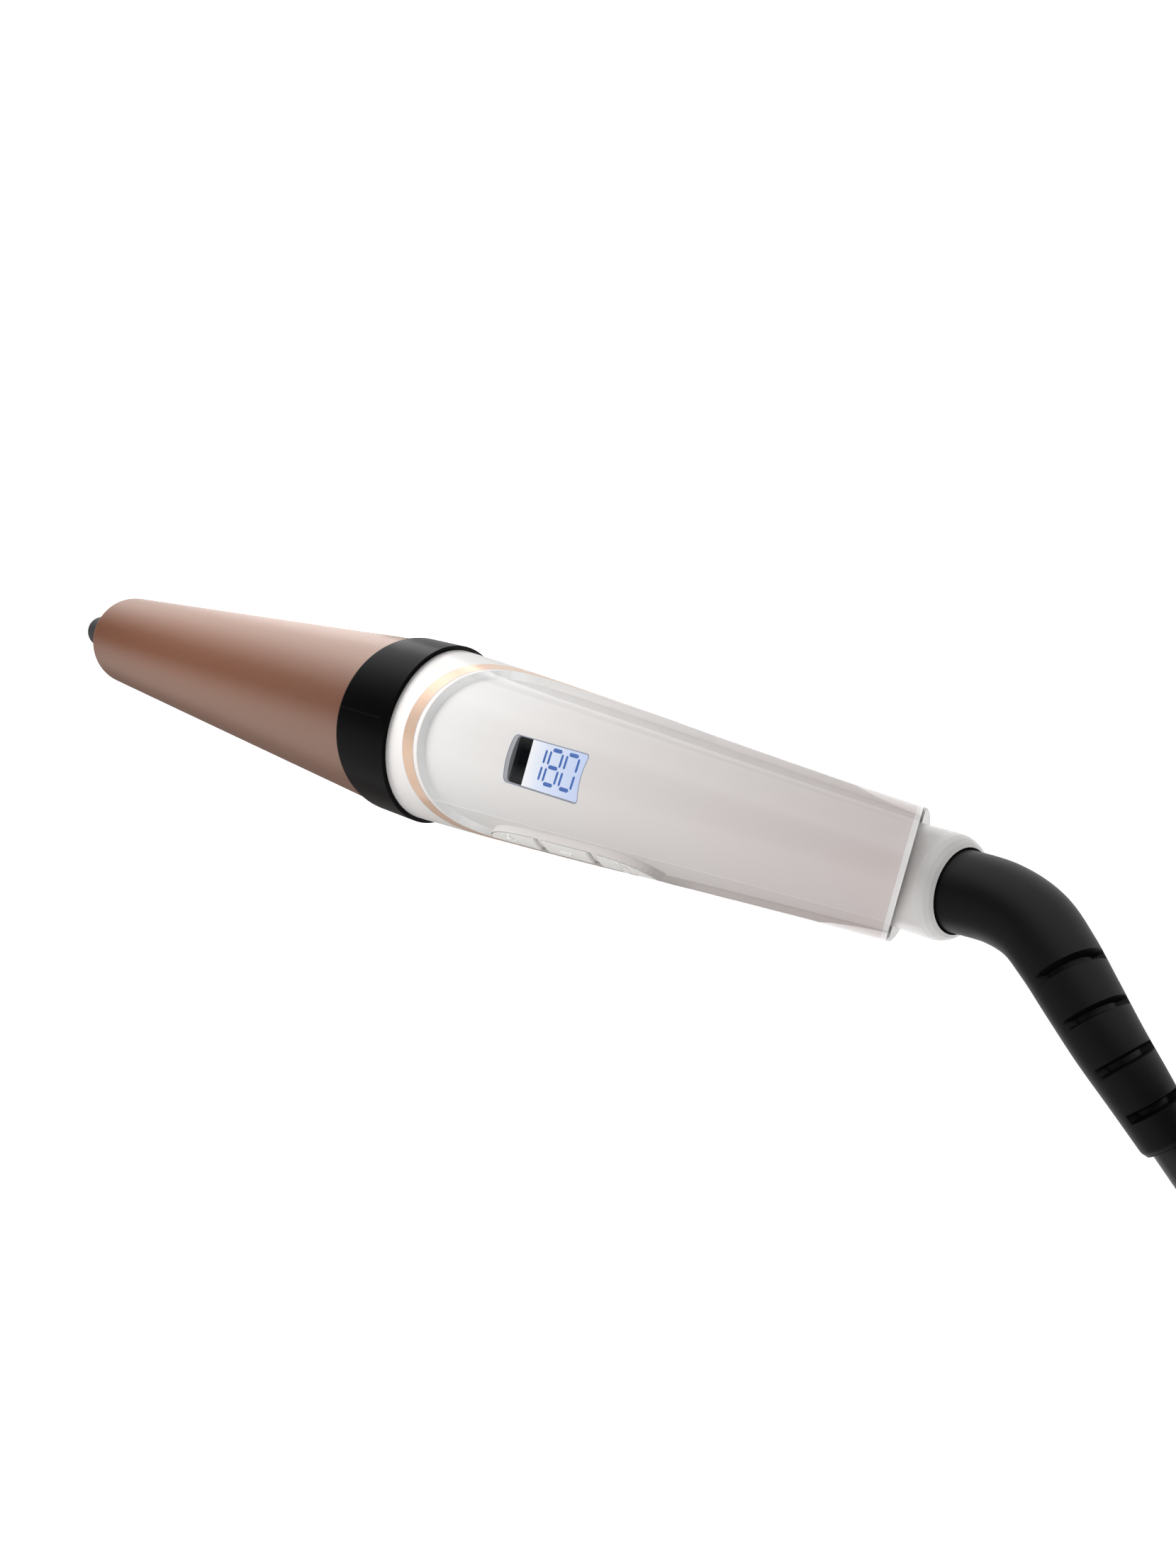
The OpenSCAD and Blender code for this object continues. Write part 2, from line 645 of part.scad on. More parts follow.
// Disc across the handle that carries the two spring contacts.
module brush_holder() {
    color("#39393b") difference() {
        union() {
            turned([[0, holder_x], [grip_r(holder_x) - 3.6, holder_x],
                    [grip_r(holder_x + 3) - 3.6, holder_x + 3], [0, holder_x + 3]]);
            intersection() {
                cavity(shell_wall + slack);
                translate([holder_x, -4, axis_z - 20]) cube([3, 8, 14]);
            }
        }
        translate([holder_x - 1, 0, axis_z]) rotate([0, 90, 0]) cylinder(r = 3.6, h = 6, $fn = 32);
    }
}

module brush_contacts() {
    reach = holder_x + 3;
    color("gold") {
        translate([reach, -2, axis_z + ring_r + slack]) cube([hub_x0 + 6 - reach, 4, 0.5]);
        translate([0, 2, 0]) side_prism([
            [reach, -ring_r - 1.8], [hub_x0 + 8, -ring_r - 1.8], [hub_x0 + 10, -ring_r - slack - 0.5],
            [hub_x0 + 13, -ring_r - slack - 0.5], [hub_x0 + 13, -ring_r - slack],
            [hub_x0 + 9.8, -ring_r - slack], [hub_x0 + 7.8, -ring_r - 1.3], [reach, -ring_r - 1.3]], -4, 0);
    }
}

// ---------- cord ----------

relief_path = smooth([for (i = [0:relief_last]) cord_route[i]], 4);
relief_tail_r = cord_d / 2 + 1.1;
function relief_radius(u) = relief_d / 2 - 0.12 - (relief_d / 2 - 0.12 - relief_tail_r) * pow(u, 1.5);

// Cross slots let the strain relief bend: the stretch from the middle on, in turn above and below.
slot_w = 1.5;
slot_rings = [12, 14, 16, 18, 20, 22, 24, 26];

module strain_relief() {
    n = len(relief_path) - 1;
    color("#1c1c1e") difference() {
        union() {
            translate([flange_x1, 0, axis_z]) rotate([0, 90, 0])
                cylinder(r = relief_d / 2, h = end_x - flange_x1 + 0.5, $fn = 48);
            swept(relief_path, [for (i = [0:n]) relief_radius(i / n)], 24);
        }
        for (i = slot_rings, up = [0, 1]) {
            at = up == 1 ? relief_path[i] : (relief_path[i] + relief_path[i + 1]) / 2;
            t = unit(relief_path[i + 1] - relief_path[i]);
            translate(at) rotate([0, 0, atan2(t[1], t[0])]) rotate([0, -asin(t[2]), 0])
                translate([-slot_w / 2, -8, up == 1 ? relief_radius(i / n) - 2 : -10])
                    cube([slot_w, 16, up == 1 ? 10 : 12 - relief_radius(i / n)]);
        }
    }
}

module power_cord() {
    path = smooth([for (i = [relief_last:len(cord_route) - 1]) cord_route[i]], 2);
    color("#1c1c1e") swept(path, [for (p = path) cord_d / 2], 10);
}

module hank_block(r, z0, z1) {
    hull() for (s = [-1, 1]) translate([s * hank_run / 2, 0, z0])
        cylinder(r = r, h = z1 - z0, $fn = 64);
}

module cord_hank() {
    edge = 2.5;
    color("#242426") translate([hank_pos[0], hank_pos[1], 0]) difference() {
        hull() {
            hank_block(hank_outer - edge, 0, hank_h);
            hank_block(hank_outer, edge, hank_h - edge);
        }
        hank_block(hank_inner, -1, hank_h + 1);
        for (top = [0, 1]) translate([0, 0, top * hank_h]) hull() {
            hank_block(hank_inner + edge + 0.5, -0.5, 0.5);
            hank_block(hank_inner, top == 1 ? -edge : 0, top == 1 ? 0 : edge);
        }
    }
}

module cord_tail() {
    path = smooth(tail_route, 2);
    color("#1c1c1e") swept(path, [for (p = path) cord_d / 2], 10);
}

// Band round both runs of the hank.
module cord_tie() {
    t = 1.1;
    w = 6;
    side = hank_outer + 0.3;
    color("#303032") translate([hank_pos[0] + tie_x, hank_pos[1], 0]) difference() {
        translate([-w / 2, -side - t, 0]) cube([w, 2 * (side + t), hank_h + 0.1 + t]);
        translate([-w / 2 - 1, -side, -1]) cube([w + 2, 2 * side, hank_h + 1.1]);
    }
}

// Flat two-pin plug lying on the hank, its pins towards +X.
plug_l = 36;
plug_w = 35;
pin_gap = 19;
pin_r = 2;
pin_len = 19;

module plug_body() {
    color("#1c1c1e") translate(plug_pos) rotate([0, 0, -90]) {
        hull() {
            translate([-8, 11, -plug_h / 2]) cube([16, 0.1, plug_h]);
            translate([-plug_w / 2 + 4, 24, 0]) cylinder(r = 4, h = plug_h, center = true, $fn = 32);
            translate([plug_w / 2 - 4, 24, 0]) cylinder(r = 4, h = plug_h, center = true, $fn = 32);
            translate([-plug_w / 2, plug_l - 2, -plug_h / 2]) cube([plug_w, 2, plug_h]);
        }
        rotate([-90, 0, 0]) cylinder(r1 = cord_d / 2 + 0.8, r2 = 5.5, h = 12, $fn = 32);
    }
}

module plug_pins() {
    color("silver") translate(plug_pos) rotate([0, 0, -90]) for (s = [-1, 1]) translate([s * pin_gap / 2, plug_l, 0])
        rotate([-90, 0, 0]) {
            cylinder(r = pin_r, h = pin_len - 1, $fn = 32);
            translate([0, 0, pin_len - 1]) cylinder(r1 = pin_r, r2 = pin_r - 0.8, h = 1, $fn = 32);
        }
}

barrel();
cool_tip();
tip_screw();
heater_block_left();
heater_block_right();
ptc_heater();
pressure_spring();
temperature_sensor();
thermal_fuse();
heater_leads();
insulator_ring();
heat_collar();
upper_housing();
lower_housing();
trim_band();
clear_cover();
display_bezel();
lcd_glass();
backlight();
lcd_holder();
plus_key();
minus_key();
power_key();
key_board();
main_board();
housing_screws();
swivel_hub();
slip_rings();
swivel_bush();
brush_holder();
brush_contacts();
strain_relief();
power_cord();
cord_hank();
cord_tail();
cord_tie();
plug_body();
plug_pins();
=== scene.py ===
"""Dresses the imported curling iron: finishes, moulded marks, the mains lead and the stage.

Metres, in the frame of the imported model: +X runs from the cool tip to the cord end, +Z points
out of the display, and z = 0 is the surface that the iron lies on.
"""

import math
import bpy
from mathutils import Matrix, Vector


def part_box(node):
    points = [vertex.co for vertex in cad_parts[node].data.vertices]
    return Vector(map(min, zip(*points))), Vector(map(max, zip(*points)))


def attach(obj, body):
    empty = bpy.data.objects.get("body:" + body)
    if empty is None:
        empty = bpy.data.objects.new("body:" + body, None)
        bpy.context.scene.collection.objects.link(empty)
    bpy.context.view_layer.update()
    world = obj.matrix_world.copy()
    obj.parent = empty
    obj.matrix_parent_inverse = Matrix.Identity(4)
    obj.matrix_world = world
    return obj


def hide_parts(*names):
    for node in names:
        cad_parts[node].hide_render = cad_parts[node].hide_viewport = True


bl_info = {
    "name": "Conical Curling Iron",
    "version": (1, 0, 0),
    "blender": (4, 5, 0),
    "location": "View3D > Sidebar > Curling Iron",
    "description": "Finishes and soft details of a curling iron with a conical barrel",
    "category": "Add Mesh",
}

import bpy
import numpy as np
from bpy.props import FloatProperty, FloatVectorProperty, PointerProperty
from bpy.types import Operator, Panel, PropertyGroup
from mathutils import Matrix, Vector

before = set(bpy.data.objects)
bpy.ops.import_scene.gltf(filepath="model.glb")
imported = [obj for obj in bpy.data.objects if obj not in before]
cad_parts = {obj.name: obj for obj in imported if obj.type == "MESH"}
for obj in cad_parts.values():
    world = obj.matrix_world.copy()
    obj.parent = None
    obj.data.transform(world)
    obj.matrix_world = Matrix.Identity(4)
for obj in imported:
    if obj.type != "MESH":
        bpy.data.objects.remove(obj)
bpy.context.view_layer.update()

MM = 0.001

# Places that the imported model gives. The collar is the widest round and lies on the surface, so
# the axis is as high as the collar's radius.
COLLAR_LOW, COLLAR_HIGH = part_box("heat_collar")
AXIS_Z = (COLLAR_LOW.z + COLLAR_HIGH.z) / 2
COLLAR_X = COLLAR_LOW.x
COVER_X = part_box("clear_cover")[0].x
END_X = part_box("lower_housing")[1].x
HANK_LOW, HANK_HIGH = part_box("cord_hank")
HANK_CENTRE = (HANK_LOW + HANK_HIGH) / 2
HANK_TOP = HANK_HIGH.z

# Handle outline, as in the model: one cubic between two radii.
GRIP_X0 = COLLAR_X + 6 * MM
GRIP_X1 = COLLAR_X + 139 * MM
GRIP_R0, GRIP_R1 = 18.9 * MM, 10.75 * MM
GRIP_SLOPE0, GRIP_SLOPE1 = -0.04, -0.058

# Clear cover. Its window is on the back of the sheet, in millimetres: centre and half size up to
# the round corners, then the corners' radius, and the same with the line round the window. The
# rear edge leans back by COVER_LEAN of its height, with a paler rim. From PAINTED_SHADE_FROM on,
# the ink darkens towards the rear with a faint pink cast, which is painted shade. In front of
# PAINTED_SHADE_FROM the cut edge is lightened, fading out by PAINTED_EDGE_LIGHT_TO, which is
# painted light.
WINDOW_CENTRE = (75.9, -0.13, 33)
WINDOW_HALF = (9.35, 3.7, 1000)
WINDOW_RADIUS, WINDOW_LINE = 0.8 * MM, 1.0 * MM
COVER_LEAN = 0.74
COVER_REAR_X = GRIP_X1 - 0.5 * MM
COVER_RIM = 1.1 * MM
PAINTED_SHADE_FROM, PAINTED_EDGE_LIGHT_TO = 50 * MM, 55 * MM

# Trim band: its rear edge stands BAND_ARM above the axis at the cover's front, tapers to nothing
# over BAND_RUN, and rises by BAND_RISE at the front itself, with a fall-off of BAND_FALL. The
# plating stops at a lip behind that edge, and the lip's edge is a thin painted shadow line.
BAND_ARM, BAND_RUN, BAND_TAPER = 3.9 * MM, 63 * MM, 0.8
BAND_RISE, BAND_FALL = 14.3 * MM, 5 * MM
BAND_LIP, BAND_SHADOW_LINE = 1.3 * MM, 1.5 * MM

# Collar's parting line: from and to, behind the collar's front, then its width and height.
PARTING_FROM, PARTING_TO = 1.2 * MM, 17 * MM
PARTING_WIDTH, PARTING_HEIGHT = 0.3 * MM, 0.08 * MM

# Display glass from its middle along the handle: end of the black strip, and the rear end.
STRIP_END, GLASS_END = -7.1 * MM, 10.8 * MM

# Seven-segment digits: width and half height of a cell, pitch of the cells, where the first one's
# right side and the middle of them all are on the glass, how far they lean, the thickness of
# level and upright bars, and the gap at each bar's ends. They reach from just under the glass to
# just over it. A bar runs between two corners of its cell: x is 0 or 1, and y is -1, 0 or 1.
DIGIT_WIDTH, DIGIT_HALF, DIGIT_PITCH = 3.2 * MM, 3.25 * MM, 4.42 * MM
DIGIT_X, DIGIT_Y = -2.95 * MM, 0.3 * MM
DIGIT_LEAN = math.tan(math.radians(2.7))
LEVEL_BAR = 0.75 * MM
UPRIGHT_BAR = LEVEL_BAR * 0.72
BAR_GAP = 0.28 * MM
DIGIT_LOW, DIGIT_HIGH = -0.02 * MM, 0.03 * MM
BARS = {"a": (0, 1, 1, 1), "b": (1, 1, 1, 0), "c": (1, 0, 1, -1), "d": (0, -1, 1, -1),
        "e": (0, 0, 0, -1), "f": (0, 1, 0, 0), "g": (0, 0, 1, 0)}
SHOWN = ("bc", "abcdefg", "abcdef")

# Key row: its angle from the crown of the handle towards -Y, and the height of the caps. Marks:
# half length, bar width and height, then the ring's radius and the middle of the stem.
KEY_ANGLE = math.radians(67)
KEY_PROUD = 0.15 * MM
MARK_HALF, MARK_BAR, MARK_HEIGHT = 1.6 * MM, 0.55 * MM, 0.25 * MM
MARK_RING, MARK_STEM = 1.3 * MM, 0.9 * MM

# Centre line of the lead. Steps from the cord end, then steps from the top of the
# hank over its middle, in millimetres: these are the points of the model's own solids.
RELIEF_STEPS = [(-3, 0, 19.5), (0, 0, 19.5), (7, 0, 19.5), (13, -1.5, 19.5), (18, -4.8, 19.5),
                (23, -9.2, 19), (28, -14, 17.8), (33, -19, 15.5), (38, -24.5, 12.5)]
LEAD_STEPS = [(36, -22.4, 13.6), (38, -24.5, 12.5), (43, -29.5, 9.5), (48, -34.5, 7),
              (53.5, -39, 5), (60, -42.5, 3.6), (67, -44.4, 3), (75, -45, 3)]
TAIL_STEPS = [(-44, -8.3, 0), (-37.4, -15.4, 1.5), (-28, -18, 3), (-21, -17.2, 3.3),
              (-14, -14.8, 4.1), (-6, -9, 5.1), (2, -3.2, 6), (9, -0.8, 6.6), (16, 0, 6.85),
              (20, 0, 6.85)]
PLUG_STEP = (16, 0, 6.85)

# Strain relief: the length inside the handle, then the cross slots. The first slot, their pitch,
# half width and flank, the plain length at the end, and the turn to the outside of the bend. A
# slot reaches round the sleeve where the sine of the angle is over SLOT_SINE, and deepens over
# the next SLOT_RUN_OUT of it. The sleeve's end is drawn in by RELIEF_LIP, over RELIEF_LIP_RUN.
RELIEF_ROOT = 3 * MM
SLOT_FIRST, SLOT_PITCH = 25.4 * MM, 3.4 * MM
SLOT_HALF, SLOT_FLANK = 0.65 * MM, 0.2 * MM
SLOT_PLAIN, SLOT_TURN = 4 * MM, math.radians(-45)
SLOT_SINE, SLOT_RUN_OUT = 0.38, 0.12
RELIEF_LIP, RELIEF_LIP_RUN = 0.35 * MM, 0.5 * MM

# Hank: straight length and middle radius of its folds, then the turns counted from its start,
# with the radius and height reached there. A layer takes two turns, and the lead climbs to the
# next one in a fifth of a turn.
HANK_RUN, HANK_FOLD = 56, 24
HANK_TURNS = [0, 2, 2.2, 4.2, 4.4, 6.4, 6.6, 8.6, 8.8, 10.8, 10.86]
HANK_RADII = [30, 18, 18, 30, 30, 18, 18, 30, 30, 18, 18]
HANK_HEIGHTS = [3, 3, 9, 9, 15, 15, 21, 21, 27, 27, 28.5]
POINTS_A_TURN = 32

# Band round the hank: half its width and thickness, corner radius, and gap under it.
TIE_HALF_WIDTH, TIE_HALF = 3 * MM, 0.55 * MM
TIE_CORNER, TIE_GAP = 3.6 * MM, 0.6 * MM

# Plug, in millimetres: neck radius, then how far the body is wider and higher than the neck.
PLUG_NECK, PLUG_FLARE, PLUG_RISE = 4.1, 13.3, 2.7
PLUG_GRIPS = (16, 19.5, 23, 26.5)
PIN_SLEEVE_RADIUS, PIN_RADIUS = 2.03 * MM, 2 * MM
PIN_SLEEVE_STEPS = (-0.3, 0, 9.6, 10)

# Camera from the collar's front, in millimetres: its place, what it looks at, and its roll.
CAMERA_EYE, CAMERA_AIM = (285.12, 5.58, 197.55), (61.8, -1.05, 0)
CAMERA_LENS, CAMERA_SENSOR = 35.805, 36
CAMERA_ROLL = math.radians(-75.53)

# Floor, as far as it reaches each way in metres.
FLOOR_REACH = 6.0

# Studio as mirrored rays meet it, from the front (-Y, 0) to the back (+Y, 1): a dim wide light,
# darkness, and a bright wide light. Diffuse rays meet it evened out, from EVEN_FRONT to EVEN_BACK.
STUDIO = ((0.0, "#9C9C9C"), (0.35, "#989898"), (0.46, "#242424"), (0.58, "#0D0D0D"),
          (0.7, "#A0A0A0"), (0.78, "#FFFFFF"))
STUDIO_STRENGTH = 1.5
EVEN_FRONT, EVEN_BACK = 0.38, 0.55

# Cards just over the floor that only mirror in the iron, dark in front of it and pale behind its
# handle. name: (tone, x from, x to, y from, y to), in metres.
CARDS = {
    "front_flag": ("#85807D", -0.9, 0.12, -0.9, -0.022),
    "rear_flag": ("#DCDCDC", -0.045, 0.12, 0.021, 0.12),
}
CARD_Z = 0.5 * MM

# Lamps. name: (place from the collar's front and aim, in millimetres, size in metres, watts).
LAMPS = {
    "key_lamp": ((-100, 60, 150), (30, 0, 0), 0.18, 0.46),
    "fill_lamp": ((80, -420, 300), (30, 0, 0), 0.5, 0.95),
}


def linear(hex_colour):
    """Linear RGB of an sRGB hex colour: c / 12.92 in the toe, ((c + 0.055) / 1.055)^2.4 above."""
    steps = [int(hex_colour[i:i + 2], 16) / 255 for i in (1, 3, 5)]
    return tuple(c / 12.92 if c <= 0.04045 else ((c + 0.055) / 1.055) ** 2.4 for c in steps)


def rgba(hex_colour):
    """The same colour with full cover, for a shader socket."""
    return (*linear(hex_colour), 1.0)


# ---------------------------------------------------------------- shapes


def unit(rows):
    """Vectors brought to length 1."""
    return rows / np.linalg.norm(rows, axis=-1)[..., None]


def round_angles(count):
    """Angles of points spaced evenly round a circle."""
    return np.linspace(0, 2 * np.pi, count, endpoint=False)


def squared_off(values, power):
    """sign(v) |v|^power: turns the cosine and sine of a circle into those of a squarer form."""
    return np.sign(values) * np.abs(values) ** power


def eased(x, start, run):
    """Smooth step from 0 at start to 1 at start + run: 3 t^2 - 2 t^3."""
    t = np.clip((x - start) / run, 0, 1)
    return t * t * (3 - 2 * t)


def grip_radius(x):
    """Radius of the handle at x: the cubic whose ends have the two radii and slopes above."""
    length = GRIP_X1 - GRIP_X0
    u = np.clip((np.asarray(x, float) - GRIP_X0) / length, 0, 1)
    ends = (2 * u - 3) * u * u * (GRIP_R0 - GRIP_R1) + GRIP_R0
    return ends + length * u * (1 - u) * ((1 - u) * GRIP_SLOPE0 - u * GRIP_SLOPE1)


def collar_radius(x):
    """Radius of the collar at x, the same all along it."""
    return AXIS_Z + 0 * x


def on_round(x, arc, height, angle, radius):
    """Point over a round form: x along it, arc round it from an angle towards the crown, and
    height above its surface. y = -r sin t and z = axis + r cos t, with t = angle - arc / r."""
    r = radius(x)
    t = angle - arc / r
    return np.stack([x + 0 * t, -(r + height) * np.sin(t), AXIS_Z + (r + height) * np.cos(t)], -1)


def smooth_line(points, steps):
    """Catmull-Rom curve through points: each stretch is the cubic whose end slopes are half
    the step between its neighbours."""
    p = np.asarray(points, float)
    a, b = np.vstack([p[:1], p[:-2]]), p[:-1]
    c, d = p[1:], np.vstack([p[2:], p[-1:]])
    t = (np.arange(steps) / steps)[None, :, None]
    a, b, c, d = (q[:, None, :] for q in (a, b, c, d))
    line = (2 * b + (c - a) * t + (2 * a - 5 * b + 4 * c - d) * t**2
            + (3 * b - a - 3 * c + d) * t**3) / 2
    return np.vstack([line.reshape(-1, p.shape[1]), p[-1:]])


def stretches(path):
    """Length of each stretch of a path."""
    return np.linalg.norm(np.diff(path, axis=0), axis=1)


def hank_track(turn, radius, height):
    """Track of a long winding about the origin. s = turn * (2 run + 2 pi fold) measures round it:
    a straight at -radius, a half circle, a straight at +radius, and the half circle back."""
    fold = np.pi * HANK_FOLD
    s = np.mod(turn, 1) * 2 * (HANK_RUN + fold)
    back = s >= HANK_RUN + fold
    s = s - back * (HANK_RUN + fold)
    bend = np.clip(s - HANK_RUN, 0, None) / HANK_FOLD
    x = np.minimum(s, HANK_RUN) - HANK_RUN / 2 + radius * np.sin(bend)
    y = -radius * np.cos(bend)
    turned = np.where(back, -1, 1)
    return np.stack([x * turned, y * turned, height], -1)


def level_rings(path, radius, sides):
    """Ring round each point of a path: centre + r (cos a * side + sin a * up), where side is
    level and square to the path. radius is one number, one a ring, or one a point."""
    path = np.asarray(path, float)
    ahead = unit(np.gradient(path, axis=0))
    side = unit(np.cross(ahead, (0, 0, 1)))
    up = np.cross(side, ahead)
    a = round_angles(sides)
    ring = np.cos(a)[None, :, None] * side[:, None] + np.sin(a)[None, :, None] * up[:, None]
    radius = np.asarray(radius, float)
    if radius.ndim == 1:
        radius = radius[:, None]
    radius = np.broadcast_to(radius, (len(path), sides))
    return path[:, None] + radius[..., None] * ring


def grid(points, capped=True, looped=False):
    """Vertices and faces of rows of points that close round, shape (rows, columns, 3). The
    first and last row get a flat cap, or join where the rows run in a loop."""
    rows, columns = points.shape[:2]
    i = np.arange(rows if looped else rows - 1)[:, None]
    k = np.arange(columns)[None, :]
    i1, k1 = (i + 1) % rows, (k + 1) % columns
    quads = np.stack([i * columns + k, i1 * columns + k, i1 * columns + k1, i * columns + k1], -1)
    faces = quads.reshape(-1, 4).tolist()
    if capped and not looped:
        last = (rows - 1) * columns
        faces += [list(range(columns)), list(range(last + columns - 1, last - 1, -1))]
    return points.reshape(-1, 3), faces


def joined(parts):
    """One list of vertices and faces from several."""
    shifts = np.cumsum([0] + [len(v) for v, _ in parts])
    faces = [[k + shift for k in face] for (_, fs), shift in zip(parts, shifts) for face in fs]
    return np.vstack([v for v, _ in parts]), faces


def ribbon(line, width, height, place, sunk=0.15 * MM):
    """Raised bar along a flat line of (x, arc) points: a bevelled section of the given width and
    height, carried along the line and laid on a surface by place(x, arc, height)."""
    line = np.asarray(line, float)
    ahead = unit(np.gradient(line, axis=0))
    left = np.stack([-ahead[:, 1], ahead[:, 0]], -1)
    half, cut = width / 2, min(width, height) * 0.3
    across = np.array([-half, -half, cut - half, half - cut, half, half])
    above = np.array([-sunk, height - cut, height, height, height - cut, -sunk])
    flat = line[:, None] + across[None, :, None] * left[:, None]
    return grid(place(flat[..., 0], flat[..., 1], np.broadcast_to(above, flat.shape[:2])))


def bar_outline(start, end, width):
    """Corners of a display bar from start to end: a strip that keeps the gap from both, with its
    ends cut to a point."""
    step = unit(end - start)
    across = np.array([-step[1], step[0]]) * width / 2
    p, q, cut = start + step * BAR_GAP, end - step * BAR_GAP, step * width / 2
    return np.array([p, p + cut - across, q - cut - across, q, q - cut + across, p + cut + across])


def make_piece(name, shape, material, body, replaces=(), smooth=True, sharp=None):
    """Object of a vertex and face list, which rides on a body and takes the finish it is given.
    Edges that turn by more than sharp degrees are creased."""
    vertices, faces = shape
    mesh = bpy.data.meshes.new(name)
    mesh.from_pydata(np.asarray(vertices).tolist(), [], faces)
    mesh.polygons.foreach_set("use_smooth", [smooth] * len(mesh.polygons))
    mesh.materials.append(material)
    mesh.update()
    piece = bpy.data.objects.new(name, mesh)
    bpy.context.scene.collection.objects.link(piece)
    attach(piece, body)
    if replaces:
        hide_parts(*replaces)
    if sharp is not None:
        piece.data.set_sharp_from_angle(angle=math.radians(sharp))
    return piece


def make_card(name, x0, x1, y0, y1, z, material):
    """Level rectangle of the stage, which isn't part of the iron."""
    mesh = bpy.data.meshes.new(name)
    corners = [(x, y, z) for x, y in ((x0, y0), (x1, y0), (x1, y1), (x0, y1))]
    mesh.from_pydata(corners, [], [(0, 1, 2, 3)])
    mesh.materials.append(material)
    card = bpy.data.objects.new(name, mesh)
    bpy.context.scene.collection.objects.link(card)
    return card


def give_finish(material, *nodes):
    """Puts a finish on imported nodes."""
    for name in nodes:
        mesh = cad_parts[name].data
        mesh.materials.clear()
        mesh.materials.append(material)


# ---------------------------------------------------------------- finishes


def new_finish(name):
    """A material with an empty node tree, and that tree."""
    material = bpy.data.materials.new(name)
    material.use_nodes = True
    material.node_tree.nodes.clear()
    return material, material.node_tree


def add(tree, kind, inputs=None, **settings):
    """Adds a node with its settings. Each input takes a number, or the output it is linked to."""
    node = tree.nodes.new(kind)
    for key, value in settings.items():
        setattr(node, key, value)
    for key, value in (inputs or {}).items():
        if isinstance(value, bpy.types.NodeSocket):
            tree.links.new(value, node.inputs[key])
        else:
            node.inputs[key].default_value = value
    return node


def moulded(name, low, high, roughness, grain_mm, bump=0.1, rough_swing=0.08, **sockets):
    """Plastic or rubber out of a mould. A slow cloud, about 20 mm across, takes the colour from
    low to high, a fine grain of the given size gives the bump, and the cloud shifts the
    roughness a little."""
    material, tree = new_finish(name)
    place = add(tree, "ShaderNodeTexCoord").outputs["Object"]
    cloud = add(tree, "ShaderNodeTexNoise", {"Vector": place, "Scale": 45.0, "Detail": 3.0})
    grain = add(tree, "ShaderNodeTexNoise", {
        "Vector": place, "Scale": 1000.0 / grain_mm, "Detail": 2.0})
    colour = add(tree, "ShaderNodeMix", {
        "Factor": cloud.outputs["Fac"], "A": rgba(low), "B": rgba(high)}, data_type="RGBA")
    rough = add(tree, "ShaderNodeMapRange", {
        "Value": cloud.outputs["Fac"], "To Min": roughness - rough_swing,
        "To Max": roughness + rough_swing})
    relief = add(tree, "ShaderNodeBump", {
        "Height": grain.outputs["Fac"], "Strength": bump, "Distance": 0.02 * MM})
    shader = add(tree, "ShaderNodeBsdfPrincipled", {
        "Base Color": colour.outputs["Result"], "Roughness": rough.outputs["Result"],
        "Normal": relief.outputs["Normal"], **sockets})
    add(tree, "ShaderNodeOutputMaterial", {"Surface": shader.outputs[0]})
    return material


def plated(name, low, high, roughness, brush=(1.0, 1.0, 1.0), brush_mm=1.0, bump=0.05):
    """Metal. A noise, stretched along the brushing, shades the colour and the roughness."""
    material, tree = new_finish(name)
    place = add(tree, "ShaderNodeTexCoord").outputs["Object"]
    stretch = add(tree, "ShaderNodeMapping", {"Vector": place, "Scale": brush})
    streaks = add(tree, "ShaderNodeTexNoise", {
        "Vector": stretch.outputs["Vector"], "Scale": 1000.0 / brush_mm, "Detail": 3.0})
    colour = add(tree, "ShaderNodeMix", {
        "Factor": streaks.outputs["Fac"], "A": rgba(low), "B": rgba(high)}, data_type="RGBA")
    rough = add(tree, "ShaderNodeMapRange", {
        "Value": streaks.outputs["Fac"], "To Min": roughness * 0.75, "To Max": roughness * 1.25})
    relief = add(tree, "ShaderNodeBump", {
        "Height": streaks.outputs["Fac"], "Strength": bump, "Distance": 0.01 * MM})
    shader = add(tree, "ShaderNodeBsdfPrincipled", {
        "Base Color": colour.outputs["Result"], "Roughness": rough.outputs["Result"],
        "Normal": relief.outputs["Normal"], "Metallic": 1.0})
    add(tree, "ShaderNodeOutputMaterial", {"Surface": shader.outputs[0]})
    return material


def barrel_ceramic(colour):
    """Ceramic coating with a metal pigment, sprayed on a drawn aluminium tube and baked: a satin
    metal look with a faint orange peel about 1.5 mm across, and pigment flecks. Real flecks are
    finer: these are 0.35 mm apart, so that they show."""
    material, tree = new_finish("rose_bronze_ceramic_coating")
    place = add(tree, "ShaderNodeTexCoord").outputs["Object"]
    flecks = add(tree, "ShaderNodeTexVoronoi", {"Vector": place, "Scale": 1000.0 / 0.35})
    peel = add(tree, "ShaderNodeTexNoise", {
        "Vector": place, "Scale": 1000.0 / 1.5, "Detail": 2.0})
    shade = add(tree, "ShaderNodeMapRange", {
        "Value": flecks.outputs["Distance"], "To Min": 0.93, "To Max": 1.05})
    tint = add(tree, "ShaderNodeVectorMath", {0: colour, 1: shade.outputs["Result"]},
               operation="MULTIPLY")
    rough = add(tree, "ShaderNodeMapRange", {
        "Value": peel.outputs["Fac"], "To Min": 0.30, "To Max": 0.38})
    relief = add(tree, "ShaderNodeBump", {
        "Height": peel.outputs["Fac"], "Strength": 0.06, "Distance": 0.02 * MM})
    shader = add(tree, "ShaderNodeBsdfPrincipled", {
        "Base Color": tint.outputs[0], "Roughness": rough.outputs["Result"],
        "Normal": relief.outputs["Normal"], "IOR": 3.6, "Specular Tint": rgba("#FFF0E7")})
    add(tree, "ShaderNodeOutputMaterial", {"Surface": shader.outputs[0]})
    return material


